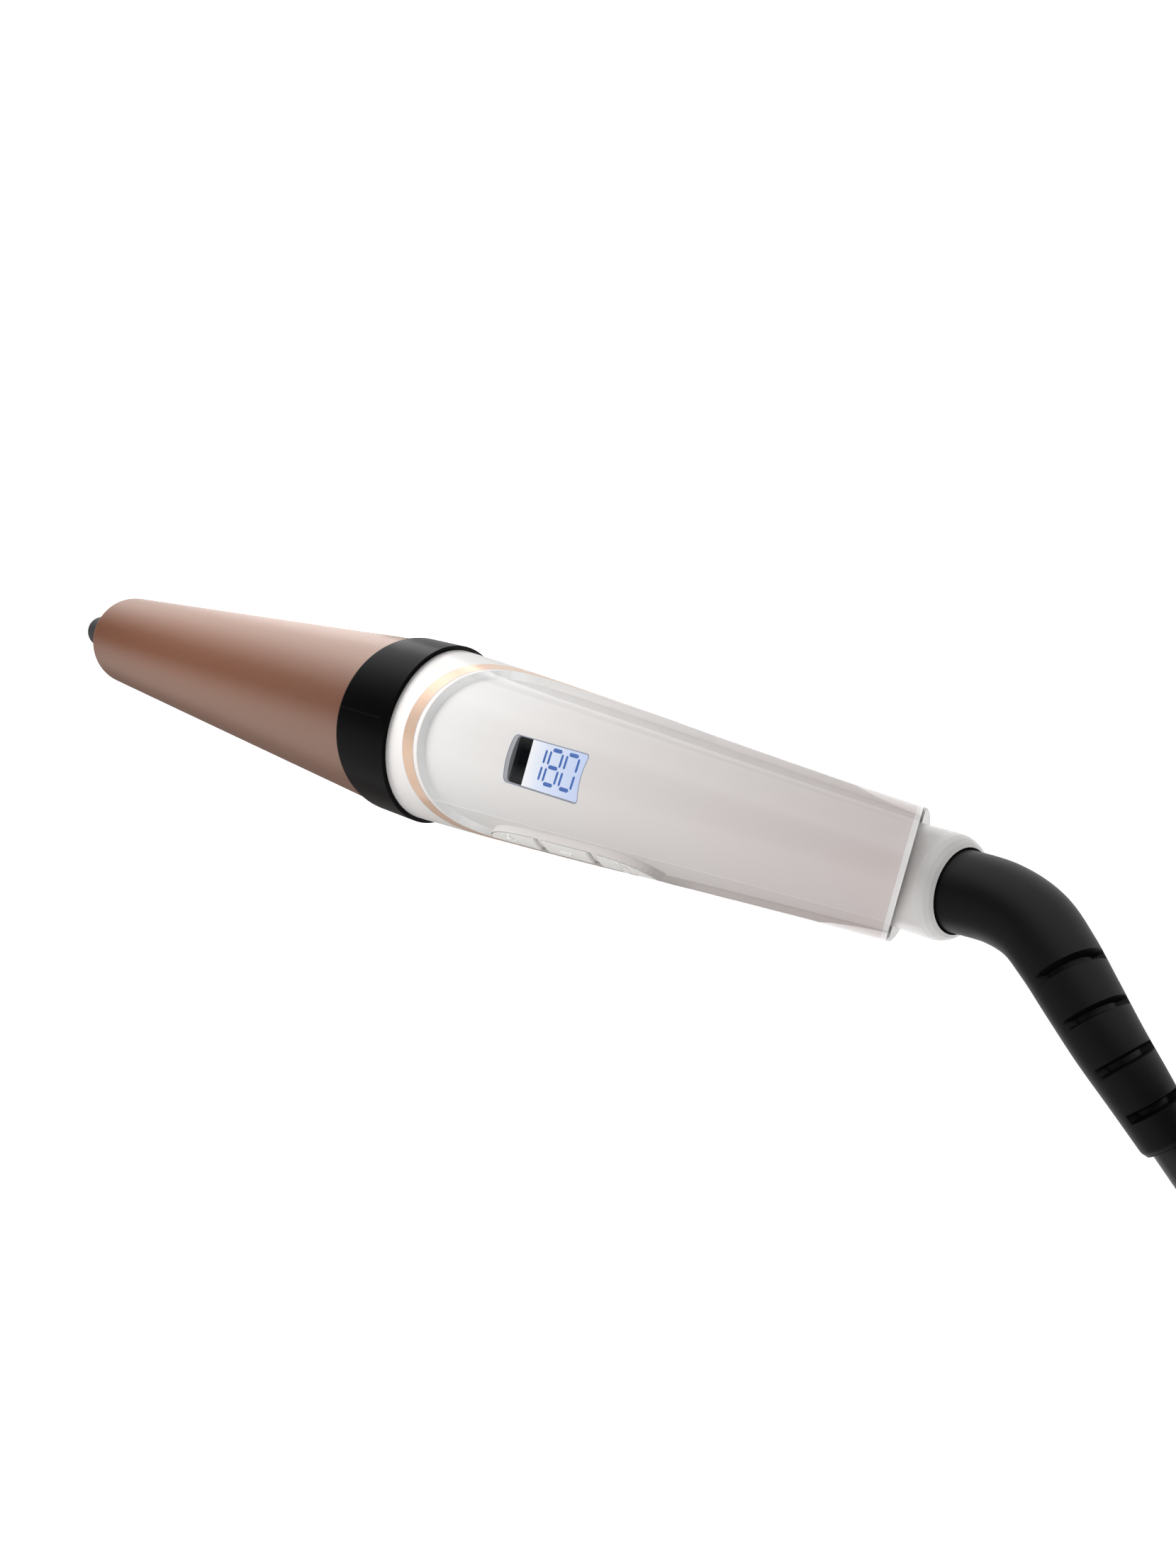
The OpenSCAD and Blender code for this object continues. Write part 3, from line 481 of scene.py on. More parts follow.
def back_printed_cover():
    """Clear acrylic shell, injection moulded and polished, white ink printed on its back. The
    mesh marks its faces: 0 outside, 1 edge, 2 back. The ink stops at a window with round
    corners, where |p - centre| - half leaves less than the corner's radius. It covers the edges
    too and is paler beside the leaning rear edge, x = rear + lean (z - axis). Painted shade
    darkens it, with a faint pink cast, towards the rear of the handle, and painted light makes
    the front edge paler."""
    material, tree = new_finish("back_printed_acrylic_and_painted_light")
    place = add(tree, "ShaderNodeTexCoord").outputs["Object"]
    xyz = add(tree, "ShaderNodeSeparateXYZ", {"Vector": place})

    # Window, and the line round it.
    spot = place
    for operation, value in (("SUBTRACT", WINDOW_CENTRE), ("ABSOLUTE", (0, 0, 0)),
                             ("SUBTRACT", WINDOW_HALF), ("MAXIMUM", (0, 0, 0))):
        spot = add(tree, "ShaderNodeVectorMath", {0: spot, 1: [c * MM for c in value]},
                   operation=operation).outputs[0]
    away = add(tree, "ShaderNodeVectorMath", {0: spot}, operation="LENGTH").outputs["Value"]
    outside, beyond_line = (
        add(tree, "ShaderNodeMath", {0: away, 1: reach}, operation="GREATER_THAN").outputs[0]
        for reach in (WINDOW_RADIUS, WINDOW_LINE))

    # Ink: painted shade along the handle, the rear rim, the line, then painted light on the front
    # edge.
    along = add(tree, "ShaderNodeMapRange", {
        "Value": xyz.outputs["X"], "From Min": PAINTED_SHADE_FROM, "From Max": COVER_REAR_X})
    # Painted shade: the ink darkens towards the rear, with a faint pink cast.
    white = add(tree, "ShaderNodeMix", {
        "Factor": along.outputs["Result"], "A": rgba("#E3E1DF"), "B": rgba("#D8CECC")},
        data_type="RGBA")
    lean = add(tree, "ShaderNodeMath", {
        0: xyz.outputs["Z"], 1: -COVER_LEAN, 2: xyz.outputs["X"]}, operation="MULTIPLY_ADD")
    rim = add(tree, "ShaderNodeMath", {
        0: lean.outputs[0], 1: COVER_REAR_X - COVER_LEAN * AXIS_Z - COVER_RIM},
        operation="GREATER_THAN")
    pale = add(tree, "ShaderNodeMix", {
        "Factor": rim.outputs[0], "A": white.outputs["Result"], "B": rgba("#E8E6E5")},
        data_type="RGBA")
    ink = add(tree, "ShaderNodeMix", {
        "Factor": beyond_line, "A": rgba("#8C93A3"), "B": pale.outputs["Result"]},
        data_type="RGBA")
    face = add(tree, "ShaderNodeAttribute", attribute_name="face_kind").outputs["Fac"]
    rind = add(tree, "ShaderNodeMath", {0: face, 1: 1.0, 2: 0.1}, operation="COMPARE")
    # Painted light: the cut edge in front of PAINTED_SHADE_FROM is lightened towards white.
    painted_front_light = add(tree, "ShaderNodeMapRange", {
        "Value": xyz.outputs["X"], "From Min": PAINTED_EDGE_LIGHT_TO, "From Max": PAINTED_SHADE_FROM})
    edge = add(tree, "ShaderNodeMath", {0: rind.outputs[0], 1: painted_front_light.outputs["Result"]},
               operation="MULTIPLY")
    tone = add(tree, "ShaderNodeMix", {
        "Factor": edge.outputs[0], "A": ink.outputs["Result"], "B": rgba("#FDFDFD")},
        data_type="RGBA")
    ink_and_painted_light = add(tree, "ShaderNodeBsdfPrincipled", {
        "Base Color": tone.outputs["Result"], "Roughness": 0.5, "Specular IOR Level": 0.0})

    # Clear sheet: its front face mirrors as acrylic does.
    clear = add(tree, "ShaderNodeBsdfTransparent", {"Color": rgba("#FCFCFC")})
    shine = add(tree, "ShaderNodeBsdfGlossy", {"Color": rgba("#FFFFFF"), "Roughness": 0.03})
    fresnel = add(tree, "ShaderNodeFresnel", {"IOR": 1.49})
    side = add(tree, "ShaderNodeNewGeometry")
    front = add(tree, "ShaderNodeMath", {0: 1.0, 1: side.outputs["Backfacing"]},
                operation="SUBTRACT")
    mirror = add(tree, "ShaderNodeMath", {0: fresnel.outputs[0], 1: front.outputs[0]},
                 operation="MULTIPLY")
    sheet = add(tree, "ShaderNodeMixShader", {
        0: mirror.outputs[0], 1: clear.outputs[0], 2: shine.outputs[0]})

    behind = add(tree, "ShaderNodeMath", {0: face, 1: 0.5}, operation="GREATER_THAN")
    printed = add(tree, "ShaderNodeMath", {0: behind.outputs[0], 1: outside},
                  operation="MULTIPLY")
    both = add(tree, "ShaderNodeMixShader", {
        0: printed.outputs[0], 1: sheet.outputs[0], 2: ink_and_painted_light.outputs[0]})
    add(tree, "ShaderNodeOutputMaterial", {"Surface": both.outputs[0]})
    return material


def masked_plating():
    """Rose-gold plating on ABS, satin. A mask keeps the plating off a lip along the rear edge of
    the band, which is arm (1 - x / run)^taper + rise exp(-x / fall) above the axis, where x
    starts at the cover's front. The lip's own edge is a thin shadow line."""
    material, tree = new_finish("rose_gold_plating")
    place = add(tree, "ShaderNodeTexCoord").outputs["Object"]
    xyz = add(tree, "ShaderNodeSeparateXYZ", {"Vector": place})

    def behind_edge(width):
        """1 where the spot lies less than width, along X, in front of the band's rear edge."""
        start = COVER_X - width
        left = add(tree, "ShaderNodeMapRange", {
            "Value": xyz.outputs["X"], "From Min": start, "From Max": start + BAND_RUN,
            "To Min": 1.0, "To Max": 0.0})
        arm = add(tree, "ShaderNodeMath", {0: left.outputs["Result"], 1: BAND_TAPER},
                  operation="POWER")
        low = add(tree, "ShaderNodeMath", {0: arm.outputs[0], 1: BAND_ARM, 2: AXIS_Z},
                  operation="MULTIPLY_ADD")
        run = add(tree, "ShaderNodeMath", {
            0: xyz.outputs["X"], 1: -1 / BAND_FALL, 2: start / BAND_FALL},
            operation="MULTIPLY_ADD")
        fall = add(tree, "ShaderNodeMath", {0: run.outputs[0]}, operation="EXPONENT")
        edge = add(tree, "ShaderNodeMath", {
            0: fall.outputs[0], 1: BAND_RISE, 2: low.outputs[0]}, operation="MULTIPLY_ADD")
        return add(tree, "ShaderNodeMath", {0: xyz.outputs["Z"], 1: edge.outputs[0]},
                   operation="GREATER_THAN").outputs[0]

    lip, line = behind_edge(BAND_LIP), behind_edge(BAND_SHADOW_LINE)
    peel = add(tree, "ShaderNodeTexNoise", {"Vector": place, "Scale": 1000.0 / 3})
    rose = add(tree, "ShaderNodeMix", {
        "Factor": peel.outputs["Fac"], "A": rgba("#F6CFB3"), "B": rgba("#FDDEC7")},
        data_type="RGBA")
    # Painted shadow: a thin grey line along the lip's edge.
    edge = add(tree, "ShaderNodeMix", {
        "Factor": line, "A": rose.outputs["Result"], "B": rgba("#A9A6AC")}, data_type="RGBA")
    colour = add(tree, "ShaderNodeMix", {
        "Factor": lip, "A": edge.outputs["Result"], "B": rgba("#E8E3E0")}, data_type="RGBA")
    metal = add(tree, "ShaderNodeMapRange", {"Value": line, "To Min": 0.5, "To Max": 0.0})
    shader = add(tree, "ShaderNodeBsdfPrincipled", {
        "Base Color": colour.outputs["Result"], "Metallic": metal.outputs["Result"],
        "Roughness": 0.22})
    add(tree, "ShaderNodeOutputMaterial", {"Surface": shader.outputs[0]})
    return material


def lit_display(split_x, end_x):
    """Liquid crystal cell behind polished glass: a black masked strip in front of split_x, then
    a pale blue panel lit from behind, whitest beside the strip and bluer towards end_x."""
    material, tree = new_finish("lit_display_glass")
    place = add(tree, "ShaderNodeTexCoord").outputs["Object"]
    xyz = add(tree, "ShaderNodeSeparateXYZ", {"Vector": place})
    along = add(tree, "ShaderNodeMapRange", {
        "Value": xyz.outputs["X"], "From Min": split_x, "From Max": end_x})
    glow = add(tree, "ShaderNodeValToRGB", {0: along.outputs["Result"]})
    ramp = glow.color_ramp
    ramp.elements[0].color, ramp.elements[1].color = rgba("#FFFFFF"), rgba("#C4D3F6")
    ramp.elements.new(0.25).color = rgba("#E4ECFD")
    lit = add(tree, "ShaderNodeMath", {0: xyz.outputs["X"], 1: split_x},
              operation="GREATER_THAN")
    base = add(tree, "ShaderNodeMix", {
        "Factor": lit.outputs[0], "A": rgba("#0B0C10"), "B": rgba("#3C4250")}, data_type="RGBA")
    light = add(tree, "ShaderNodeMath", {0: lit.outputs[0], 1: 0.95}, operation="MULTIPLY")
    shader = add(tree, "ShaderNodeBsdfPrincipled", {
        "Base Color": base.outputs["Result"], "Emission Color": glow.outputs["Color"],
        "Emission Strength": light.outputs[0], "Roughness": 0.06, "IOR": 1.5})
    add(tree, "ShaderNodeOutputMaterial", {"Surface": shader.outputs[0]})
    return material


def display_ink():
    """Switched-on liquid crystal segments: the backlight tinted a mid blue, with a slight fade
    about 3 mm across."""
    material, tree = new_finish("liquid_crystal_segments")
    place = add(tree, "ShaderNodeTexCoord").outputs["Object"]
    fade = add(tree, "ShaderNodeTexNoise", {"Vector": place, "Scale": 350.0})
    glow = add(tree, "ShaderNodeMix", {
        "Factor": fade.outputs["Fac"], "A": rgba("#3F66B4"), "B": rgba("#5E86D2")},
        data_type="RGBA")
    shader = add(tree, "ShaderNodeBsdfPrincipled", {
        "Base Color": rgba("#20304F"), "Roughness": 0.2,
        "Emission Color": glow.outputs["Result"], "Emission Strength": 0.75})
    add(tree, "ShaderNodeOutputMaterial", {"Surface": shader.outputs[0]})
    return material


def circuit_board():
    """Glass-filled epoxy board under solder mask: green, with copper tracks 1.2 mm apart that
    lie under the mask and lighten it."""
    material, tree = new_finish("green_solder_mask_board")
    place = add(tree, "ShaderNodeTexCoord").outputs["Object"]
    tracks = add(tree, "ShaderNodeTexBrick", {
        "Vector": place, "Color1": rgba("#1E5B36"), "Color2": rgba("#2A7044"),
        "Mortar": rgba("#3F8C58"), "Scale": 1.0, "Mortar Size": 0.12 * MM,
        "Brick Width": 7 * MM, "Row Height": 1.2 * MM})
    shader = add(tree, "ShaderNodeBsdfPrincipled", {
        "Base Color": tracks.outputs["Color"], "Roughness": 0.35})
    add(tree, "ShaderNodeOutputMaterial", {"Surface": shader.outputs[0]})
    return material


def woven_sleeve():
    """Braided glass sleeve soaked in red silicone: a diagonal weave of 0.8 mm."""
    material, tree = new_finish("braided_silicone_sleeve")
    place = add(tree, "ShaderNodeTexCoord").outputs["Object"]
    weave = add(tree, "ShaderNodeTexWave", {
        "Vector": place, "Scale": 1000.0 / (0.8 * 6.28), "Distortion": 1.0},
        bands_direction="DIAGONAL")
    colour = add(tree, "ShaderNodeMix", {
        "Factor": weave.outputs["Fac"], "A": rgba("#8E2019"), "B": rgba("#C0453A")},
        data_type="RGBA")
    relief = add(tree, "ShaderNodeBump", {
        "Height": weave.outputs["Fac"], "Strength": 0.4, "Distance": 0.1 * MM})
    shader = add(tree, "ShaderNodeBsdfPrincipled", {
        "Base Color": colour.outputs["Result"], "Normal": relief.outputs["Normal"],
        "Roughness": 0.6})
    add(tree, "ShaderNodeOutputMaterial", {"Surface": shader.outputs[0]})
    return material


# ---------------------------------------------------------------- settings


class LeadSettings(PropertyGroup):
    """Sizes of the mains lead and of its strain relief."""

    diameter: FloatProperty(name="Lead diameter", description="Outside diameter of the lead",
                            default=6 * MM, unit="LENGTH")
    relief_root: FloatProperty(name="Relief root radius", default=6.38 * MM, unit="LENGTH",
                               description="Radius of the strain relief at the handle")
    relief_tail: FloatProperty(name="Relief tail radius", default=4.1 * MM, unit="LENGTH",
                               description="Radius of the strain relief at its end")
    slot_depth: FloatProperty(name="Slot depth", default=1.7 * MM, unit="LENGTH",
                              description="Depth of the cross slots of the strain relief")


class ColourSettings(PropertyGroup):
    """Colours of the surfaces that show most."""

    barrel: FloatVectorProperty(name="Barrel", description="Ceramic coating of the barrel",
                                default=linear("#6D4431"), subtype="COLOR")


# ---------------------------------------------------------------- operators


class IRON_OT_stage(Operator):
    """Makes the camera, the floor, the world, the cards and the lamps"""

    bl_idname = "iron.stage"
    bl_label = "Stage"

    def execute(self, context):
        scene = context.scene
        scene.view_settings.view_transform = "Standard"
        start = Vector((COLLAR_X, 0, AXIS_Z))
        self.make_camera(scene, start)
        self.make_floor()
        self.make_world(scene)
        self.make_cards()
        self.make_lamps(scene, start)
        return {"FINISHED"}

    def make_camera(self, scene, start):
        """Camera that looks from above the cord end towards the tip, rolled on its side."""
        camera = bpy.data.objects.new("camera", bpy.data.cameras.new("camera"))
        scene.collection.objects.link(camera)
        camera.data.lens = CAMERA_LENS
        camera.data.sensor_width = CAMERA_SENSOR
        camera.data.sensor_fit = "AUTO"
        camera.data.clip_start = 10 * MM
        eye = start + Vector(CAMERA_EYE) * MM
        target = start + Vector(CAMERA_AIM) * MM
        level = (target - eye).to_track_quat("-Z", "Y").to_matrix()
        roll = Matrix.Rotation(CAMERA_ROLL, 3, "Z")
        camera.matrix_world = Matrix.Translation(eye) @ (level @ roll).to_4x4()
        scene.camera = camera

    def make_floor(self):
        """White paper sweep. Seen straight on or mirrored it is lifted to the white of the
        studio, and it keeps the iron's shadow."""
        floor, tree = new_finish("white_sweep")
        ray = add(tree, "ShaderNodeLightPath")
        paper = add(tree, "ShaderNodeBsdfDiffuse", {"Color": rgba("#F4F4F4")})
        sight = add(tree, "ShaderNodeMath", {
            0: ray.outputs["Is Camera Ray"], 1: ray.outputs["Is Transmission Ray"]},
            operation="MAXIMUM")
        seen = add(tree, "ShaderNodeMath", {
            0: sight.outputs[0], 1: ray.outputs["Is Glossy Ray"]}, operation="MAXIMUM")
        lift = add(tree, "ShaderNodeMath", {0: seen.outputs[0], 1: 0.6}, operation="MULTIPLY")
        glow = add(tree, "ShaderNodeEmission", {
            "Color": rgba("#FFFFFF"), "Strength": lift.outputs[0]})
        both = add(tree, "ShaderNodeAddShader", {0: paper.outputs[0], 1: glow.outputs[0]})
        add(tree, "ShaderNodeOutputMaterial", {"Surface": both.outputs[0]})
        make_card("floor", -FLOOR_REACH, FLOOR_REACH, -FLOOR_REACH, FLOOR_REACH, 0, floor)

    def make_world(self, scene):
        """White studio: mirrored rays meet its lights and its darkness as STUDIO lists them,
        diffuse rays meet an even light, and it is plain white where it is seen."""
        world = bpy.data.worlds.new("studio")
        scene.world = world
        world.use_nodes = True
        tree = world.node_tree
        tree.nodes.clear()
        place = add(tree, "ShaderNodeTexCoord").outputs["Generated"]
        xyz = add(tree, "ShaderNodeSeparateXYZ", {"Vector": place})
        ray = add(tree, "ShaderNodeLightPath")
        across = add(tree, "ShaderNodeMapRange", {
            "Value": xyz.outputs["Y"], "From Min": -1.0, "From Max": 1.0})
        band = add(tree, "ShaderNodeValToRGB", {0: across.outputs["Result"]})
        steps = band.color_ramp.elements
        for step, (at, tone) in zip((steps[0], steps[1]), (STUDIO[0], STUDIO[-1])):
            step.position, step.color = at, rgba(tone)
        for at, tone in STUDIO[1:-1]:
            steps.new(at).color = rgba(tone)
        glare = add(tree, "ShaderNodeMath", {0: band.outputs["Color"], 1: STUDIO_STRENGTH},
                    operation="MULTIPLY")
        even = add(tree, "ShaderNodeMapRange", {
            "Value": xyz.outputs["Y"], "From Min": -1.0, "From Max": 1.0,
            "To Min": EVEN_FRONT, "To Max": EVEN_BACK})
        level = add(tree, "ShaderNodeMapRange", {
            "Value": ray.outputs["Is Glossy Ray"], "To Min": even.outputs["Result"],
            "To Max": glare.outputs[0]})
        sight = add(tree, "ShaderNodeMath", {
            0: ray.outputs["Is Camera Ray"], 1: ray.outputs["Is Transmission Ray"]},
            operation="MAXIMUM")
        white = add(tree, "ShaderNodeMapRange", {
            "Value": sight.outputs[0], "To Min": level.outputs["Result"], "To Max": 1.0})
        sky = add(tree, "ShaderNodeBackground", {
            "Color": rgba("#FFFFFF"), "Strength": white.outputs["Result"]})
        add(tree, "ShaderNodeOutputWorld", {"Surface": sky.outputs[0]})

    def make_cards(self):
        """Cards that only mirrored rays meet."""
        for name, (tone, x0, x1, y0, y1) in CARDS.items():
            material, tree = new_finish(name + "_card")
            glow = add(tree, "ShaderNodeEmission", {"Color": rgba(tone), "Strength": 1.0})
            add(tree, "ShaderNodeOutputMaterial", {"Surface": glow.outputs[0]})
            card = make_card(name, x0, x1, y0, y1, CARD_Z, material)
            card.visible_camera = card.visible_diffuse = card.visible_shadow = False
            card.visible_transmission = False

    def make_lamps(self, scene, start):
        """Soft round lamps that don't mirror in the iron."""
        for name, (place, aim, size, power) in LAMPS.items():
            lamp = bpy.data.objects.new(name, bpy.data.lights.new(name, "AREA"))
            scene.collection.objects.link(lamp)
            lamp.data.shape = "DISK"
            lamp.data.size = size
            lamp.data.energy = power
            lamp.visible_glossy = False
            at = start + Vector(place) * MM
            turn = (start + Vector(aim) * MM - at).to_track_quat("-Z", "Y")
            lamp.matrix_world = Matrix.Translation(at) @ turn.to_matrix().to_4x4()


class IRON_OT_lead(Operator):
    """Makes the mains lead with its hank, tie and plug"""

    bl_idname = "iron.lead"
    bl_label = "Mains lead"

    def execute(self, context):
        size = context.scene.iron_lead
        middle = np.array([HANK_CENTRE.x, HANK_CENTRE.y, 0]) / MM
        over_hank = middle + (0, 0, HANK_TOP / MM)
        free = np.array(LEAD_STEPS) + (END_X / MM, 0, 0)
        turn = np.linspace(0, HANK_TURNS[-1], int(HANK_TURNS[-1] * POINTS_A_TURN) + 1)[1:]
        radius = np.interp(turn, HANK_TURNS, HANK_RADII)
        height = np.interp(turn, HANK_TURNS, HANK_HEIGHTS)
        hank = hank_track(turn, radius, height) + middle
        tail = np.array(TAIL_STEPS) + over_hank
        path = smooth_line(np.vstack([free, hank, tail]), 4) * MM

        sheath = moulded("extruded_pvc_sheath", "#141415", "#1E1E20", 0.45, 0.5, bump=0.08)
        lead = make_piece("mains_lead", grid(level_rings(path, size.diameter / 2, 16)),
                          sheath, "cord_end",
                          ("power_cord", "cord_hank", "cord_tail"))
        tie = self.make_tie()
        plug = self.make_plug(over_hank)
        sleeves = self.make_pin_sleeves()
        return {"FINISHED"}

    def make_tie(self):
        """Silicone band round the hank: a flat strap with round edges, carried round a rounded
        rectangle across the runs, y = sign(cos a) (half - corner) + corner cos a, and z the same
        with the sine."""
        low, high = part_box("cord_tie")
        half_y = (high.y - low.y) / 2 - TIE_HALF
        half_z = (high.z - TIE_HALF - TIE_GAP) / 2
        a = round_angles(96)
        y, z = (np.sign(np.round(wave, 9)) * (half - TIE_CORNER) + TIE_CORNER * wave
                for wave, half in ((np.cos(a), half_y), (np.sin(a), half_z)))
        base = np.stack([np.full(96, (low.x + high.x) / 2), y + (low.y + high.y) / 2,
                         z + half_z + TIE_GAP], -1)
        out = np.stack([0 * a, np.cos(a), np.sin(a)], -1)
        b = round_angles(16)
        wide = squared_off(np.cos(b), 0.35) * TIE_HALF_WIDTH
        thick = squared_off(np.sin(b), 0.6) * TIE_HALF
        points = (base[:, None] + thick[None, :, None] * out[:, None]
                  + wide[None, :, None] * np.array([1.0, 0, 0]))
        rubber = moulded("silicone_band", "#262628", "#303033", 0.55, 0.6)
        return make_piece("lead_tie", grid(points, looped=True), rubber, "cord_end",
                          ("cord_tie",))

    def make_plug(self, over_hank):
        """Moulded plug: rounded-rectangle sections |a/w|^n + |b/h|^n = 1 along its length. w, h
        and n run from a round neck to a flat body, four grip hollows 0.5 mm deep cross the
        flat, and the ends are drawn in, by 12 % at the neck and 6 % at the pins."""
        start = (over_hank + PLUG_STEP) * MM
        x = np.concatenate([[0, 0.3], np.linspace(0.8, 35, 80), [35.6, 35.9, 36.0]])
        flare, rise = eased(x, 7, 16), eased(x, 4, 11)
        grips = sum(0.5 * np.exp(-((x - at) / 0.7) ** 2) for at in PLUG_GRIPS)
        drawn_in = 1 - 0.12 * np.exp(-x / 0.4) - 0.06 * np.clip((x - 35) / 1, 0, 1) ** 2
        w = (PLUG_NECK + PLUG_FLARE * flare) * drawn_in
        h = (PLUG_NECK + PLUG_RISE * rise - grips) * drawn_in
        power = 2 / (2 + 3.5 * flare)
        a = round_angles(64)
        side = squared_off(np.cos(a), power[:, None]) * w[:, None]
        up = squared_off(np.sin(a), power[:, None]) * h[:, None]
        points = np.stack([x[:, None] + 0 * side, -side, up], -1) * MM + start
        plastic = moulded("moulded_pvc_plug", "#151516", "#202022", 0.5, 0.5, bump=0.12)
        return make_piece("moulded_plug", grid(points), plastic, "cord_end",
                          ("plug_body",), sharp=50)

    def make_pin_sleeves(self):
        """Insulating sleeves on the root of the pins: short tubes, with their ends rounded off."""
        low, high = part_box("plug_pins")
        radius = np.array([1, 1, 1, 0.985]) * PIN_SLEEVE_RADIUS
        parts = []
        for y in (low.y + PIN_RADIUS, high.y - PIN_RADIUS):
            line = [[low.x + step * MM, y, (low.z + high.z) / 2] for step in PIN_SLEEVE_STEPS]
            parts.append(grid(level_rings(line, radius, 32)))
        plastic = moulded("pin_sleeve_nylon", "#19191A", "#232325", 0.4, 0.6)
        return make_piece("pin_sleeves", joined(parts), plastic, "cord_end",
                          sharp=40)


class IRON_OT_strain_relief(Operator):
    """Makes the tapered strain relief with its cross slots"""

    bl_idname = "iron.strain_relief"
    bl_label = "Strain relief"

    def execute(self, context):
        size = context.scene.iron_lead
        path = smooth_line(np.array(RELIEF_STEPS) + (END_X / MM, 0, 0), 40) * MM
        run = np.concatenate([[0], np.cumsum(stretches(path))])
        # The radius falls from root to tail with u^1.5, where u measures along the sleeve.
        u = np.clip((run - RELIEF_ROOT) / (run[-1] - RELIEF_ROOT), 0, 1)
        radius = size.relief_root - (size.relief_root - size.relief_tail) * u**1.5
        # Slots on two sides in turn, turned to the outside of the bend: each is a groove across
        # the sleeve that takes about 130 degrees of it and runs out at both ends.
        number = np.round((run - SLOT_FIRST) / SLOT_PITCH)
        middle = SLOT_FIRST + number * SLOT_PITCH
        live = (number >= 0) & (middle < run[-1] - SLOT_PLAIN)
        groove = live * np.clip((SLOT_HALF - np.abs(run - middle)) / SLOT_FLANK, 0, 1)
        face = np.where(number % 2 == 0, 1.0, -1.0)
        sides = 96
        sine = face[:, None] * np.sin(round_angles(sides) + SLOT_TURN)[None]
        reach = np.clip((sine - SLOT_SINE) / SLOT_RUN_OUT, 0, 1)
        depth = size.slot_depth * groove[:, None] * reach
        lip = RELIEF_LIP * np.exp(-(((run - run[-1]) / RELIEF_LIP_RUN) ** 2))
        points = level_rings(path, (radius - lip)[:, None] - depth, sides)
        rubber = moulded("thermoplastic_relief_rubber", "#0A0A0B", "#101011", 0.5, 0.45,
                         bump=0.12, **{"Specular IOR Level": 0.2})
        make_piece("slotted_strain_relief", grid(points), rubber, "cord_end",
                   ("strain_relief",), sharp=40)
        return {"FINISHED"}


class IRON_OT_barrel(Operator):
    """Finishes the barrel and the cool tip"""

    bl_idname = "iron.barrel"
    bl_label = "Barrel"

    def execute(self, context):
        give_finish(barrel_ceramic(tuple(context.scene.iron_colours.barrel)), "barrel")
        # Glass-filled nylon from a spark-eroded mould: dark grey with a fine dry grain.
        give_finish(moulded("glass_filled_nylon_tip", "#2C2C2E", "#38383A", 0.55, 0.4, bump=0.25),
                    "cool_tip")
        return {"FINISHED"}


class IRON_OT_collar(Operator):
    """Finishes the heat collar and adds its parting line"""

    bl_idname = "iron.collar"
    bl_label = "Heat collar"

    def execute(self, context):
        # Heat-resistant PPS from a finely blasted mould: near black, soft highlights.
        black = moulded("blasted_pps_collar", "#050506", "#09090A", 0.3, 0.35, bump=0.15,
                        **{"Specular IOR Level": 0.05})
        give_finish(black, "heat_collar")

        def on_collar(x, arc, height):
            """Point over the collar, from its crown."""
            return on_round(x, arc, height, 0.0, collar_radius)

        x = np.linspace(COLLAR_X + PARTING_FROM, COLLAR_X + PARTING_TO, 40)
        line = ribbon(np.stack([x, 0 * x], -1), PARTING_WIDTH, PARTING_HEIGHT, on_collar)
        make_piece("collar_parting_line", line, black, "iron")
        return {"FINISHED"}


class IRON_OT_housing(Operator):
    """Finishes the housings, the trim band and the clear cover"""

    bl_idname = "iron.housing"
    bl_label = "Handle"

    def execute(self, context):
        # ABS from a polished mould: gloss white.
        give_finish(moulded("gloss_white_abs", "#E6E3E1", "#EBE8E6", 0.24, 1.5, bump=0.02,
                            rough_swing=0.03), "upper_housing", "lower_housing")
        give_finish(masked_plating(), "trim_band")
        self.mark_cover_faces()
        give_finish(back_printed_cover(), "clear_cover")
        return {"FINISHED"}

    def mark_cover_faces(self):
        """Marks each face of the cover by where its normal points, measured along the line out
        from the axis: outwards 0, along the sheet 1, inwards 2."""
        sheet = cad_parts["clear_cover"].data
        count = len(sheet.polygons)
        normal, middle = np.empty(count * 3), np.empty(count * 3)
        sheet.polygons.foreach_get("normal", normal)
        sheet.polygons.foreach_get("center", middle)
        out = unit(middle.reshape(-1, 3) * (0, 1, 1) - (0, 0, AXIS_Z))
        lift = (normal.reshape(-1, 3) * out).sum(1)
        kind = np.select([lift > 0.7, lift < -0.7], [0.0, 2.0], 1.0)
        sheet.attributes.new("face_kind", "FLOAT", "FACE").data.foreach_set("value", kind)


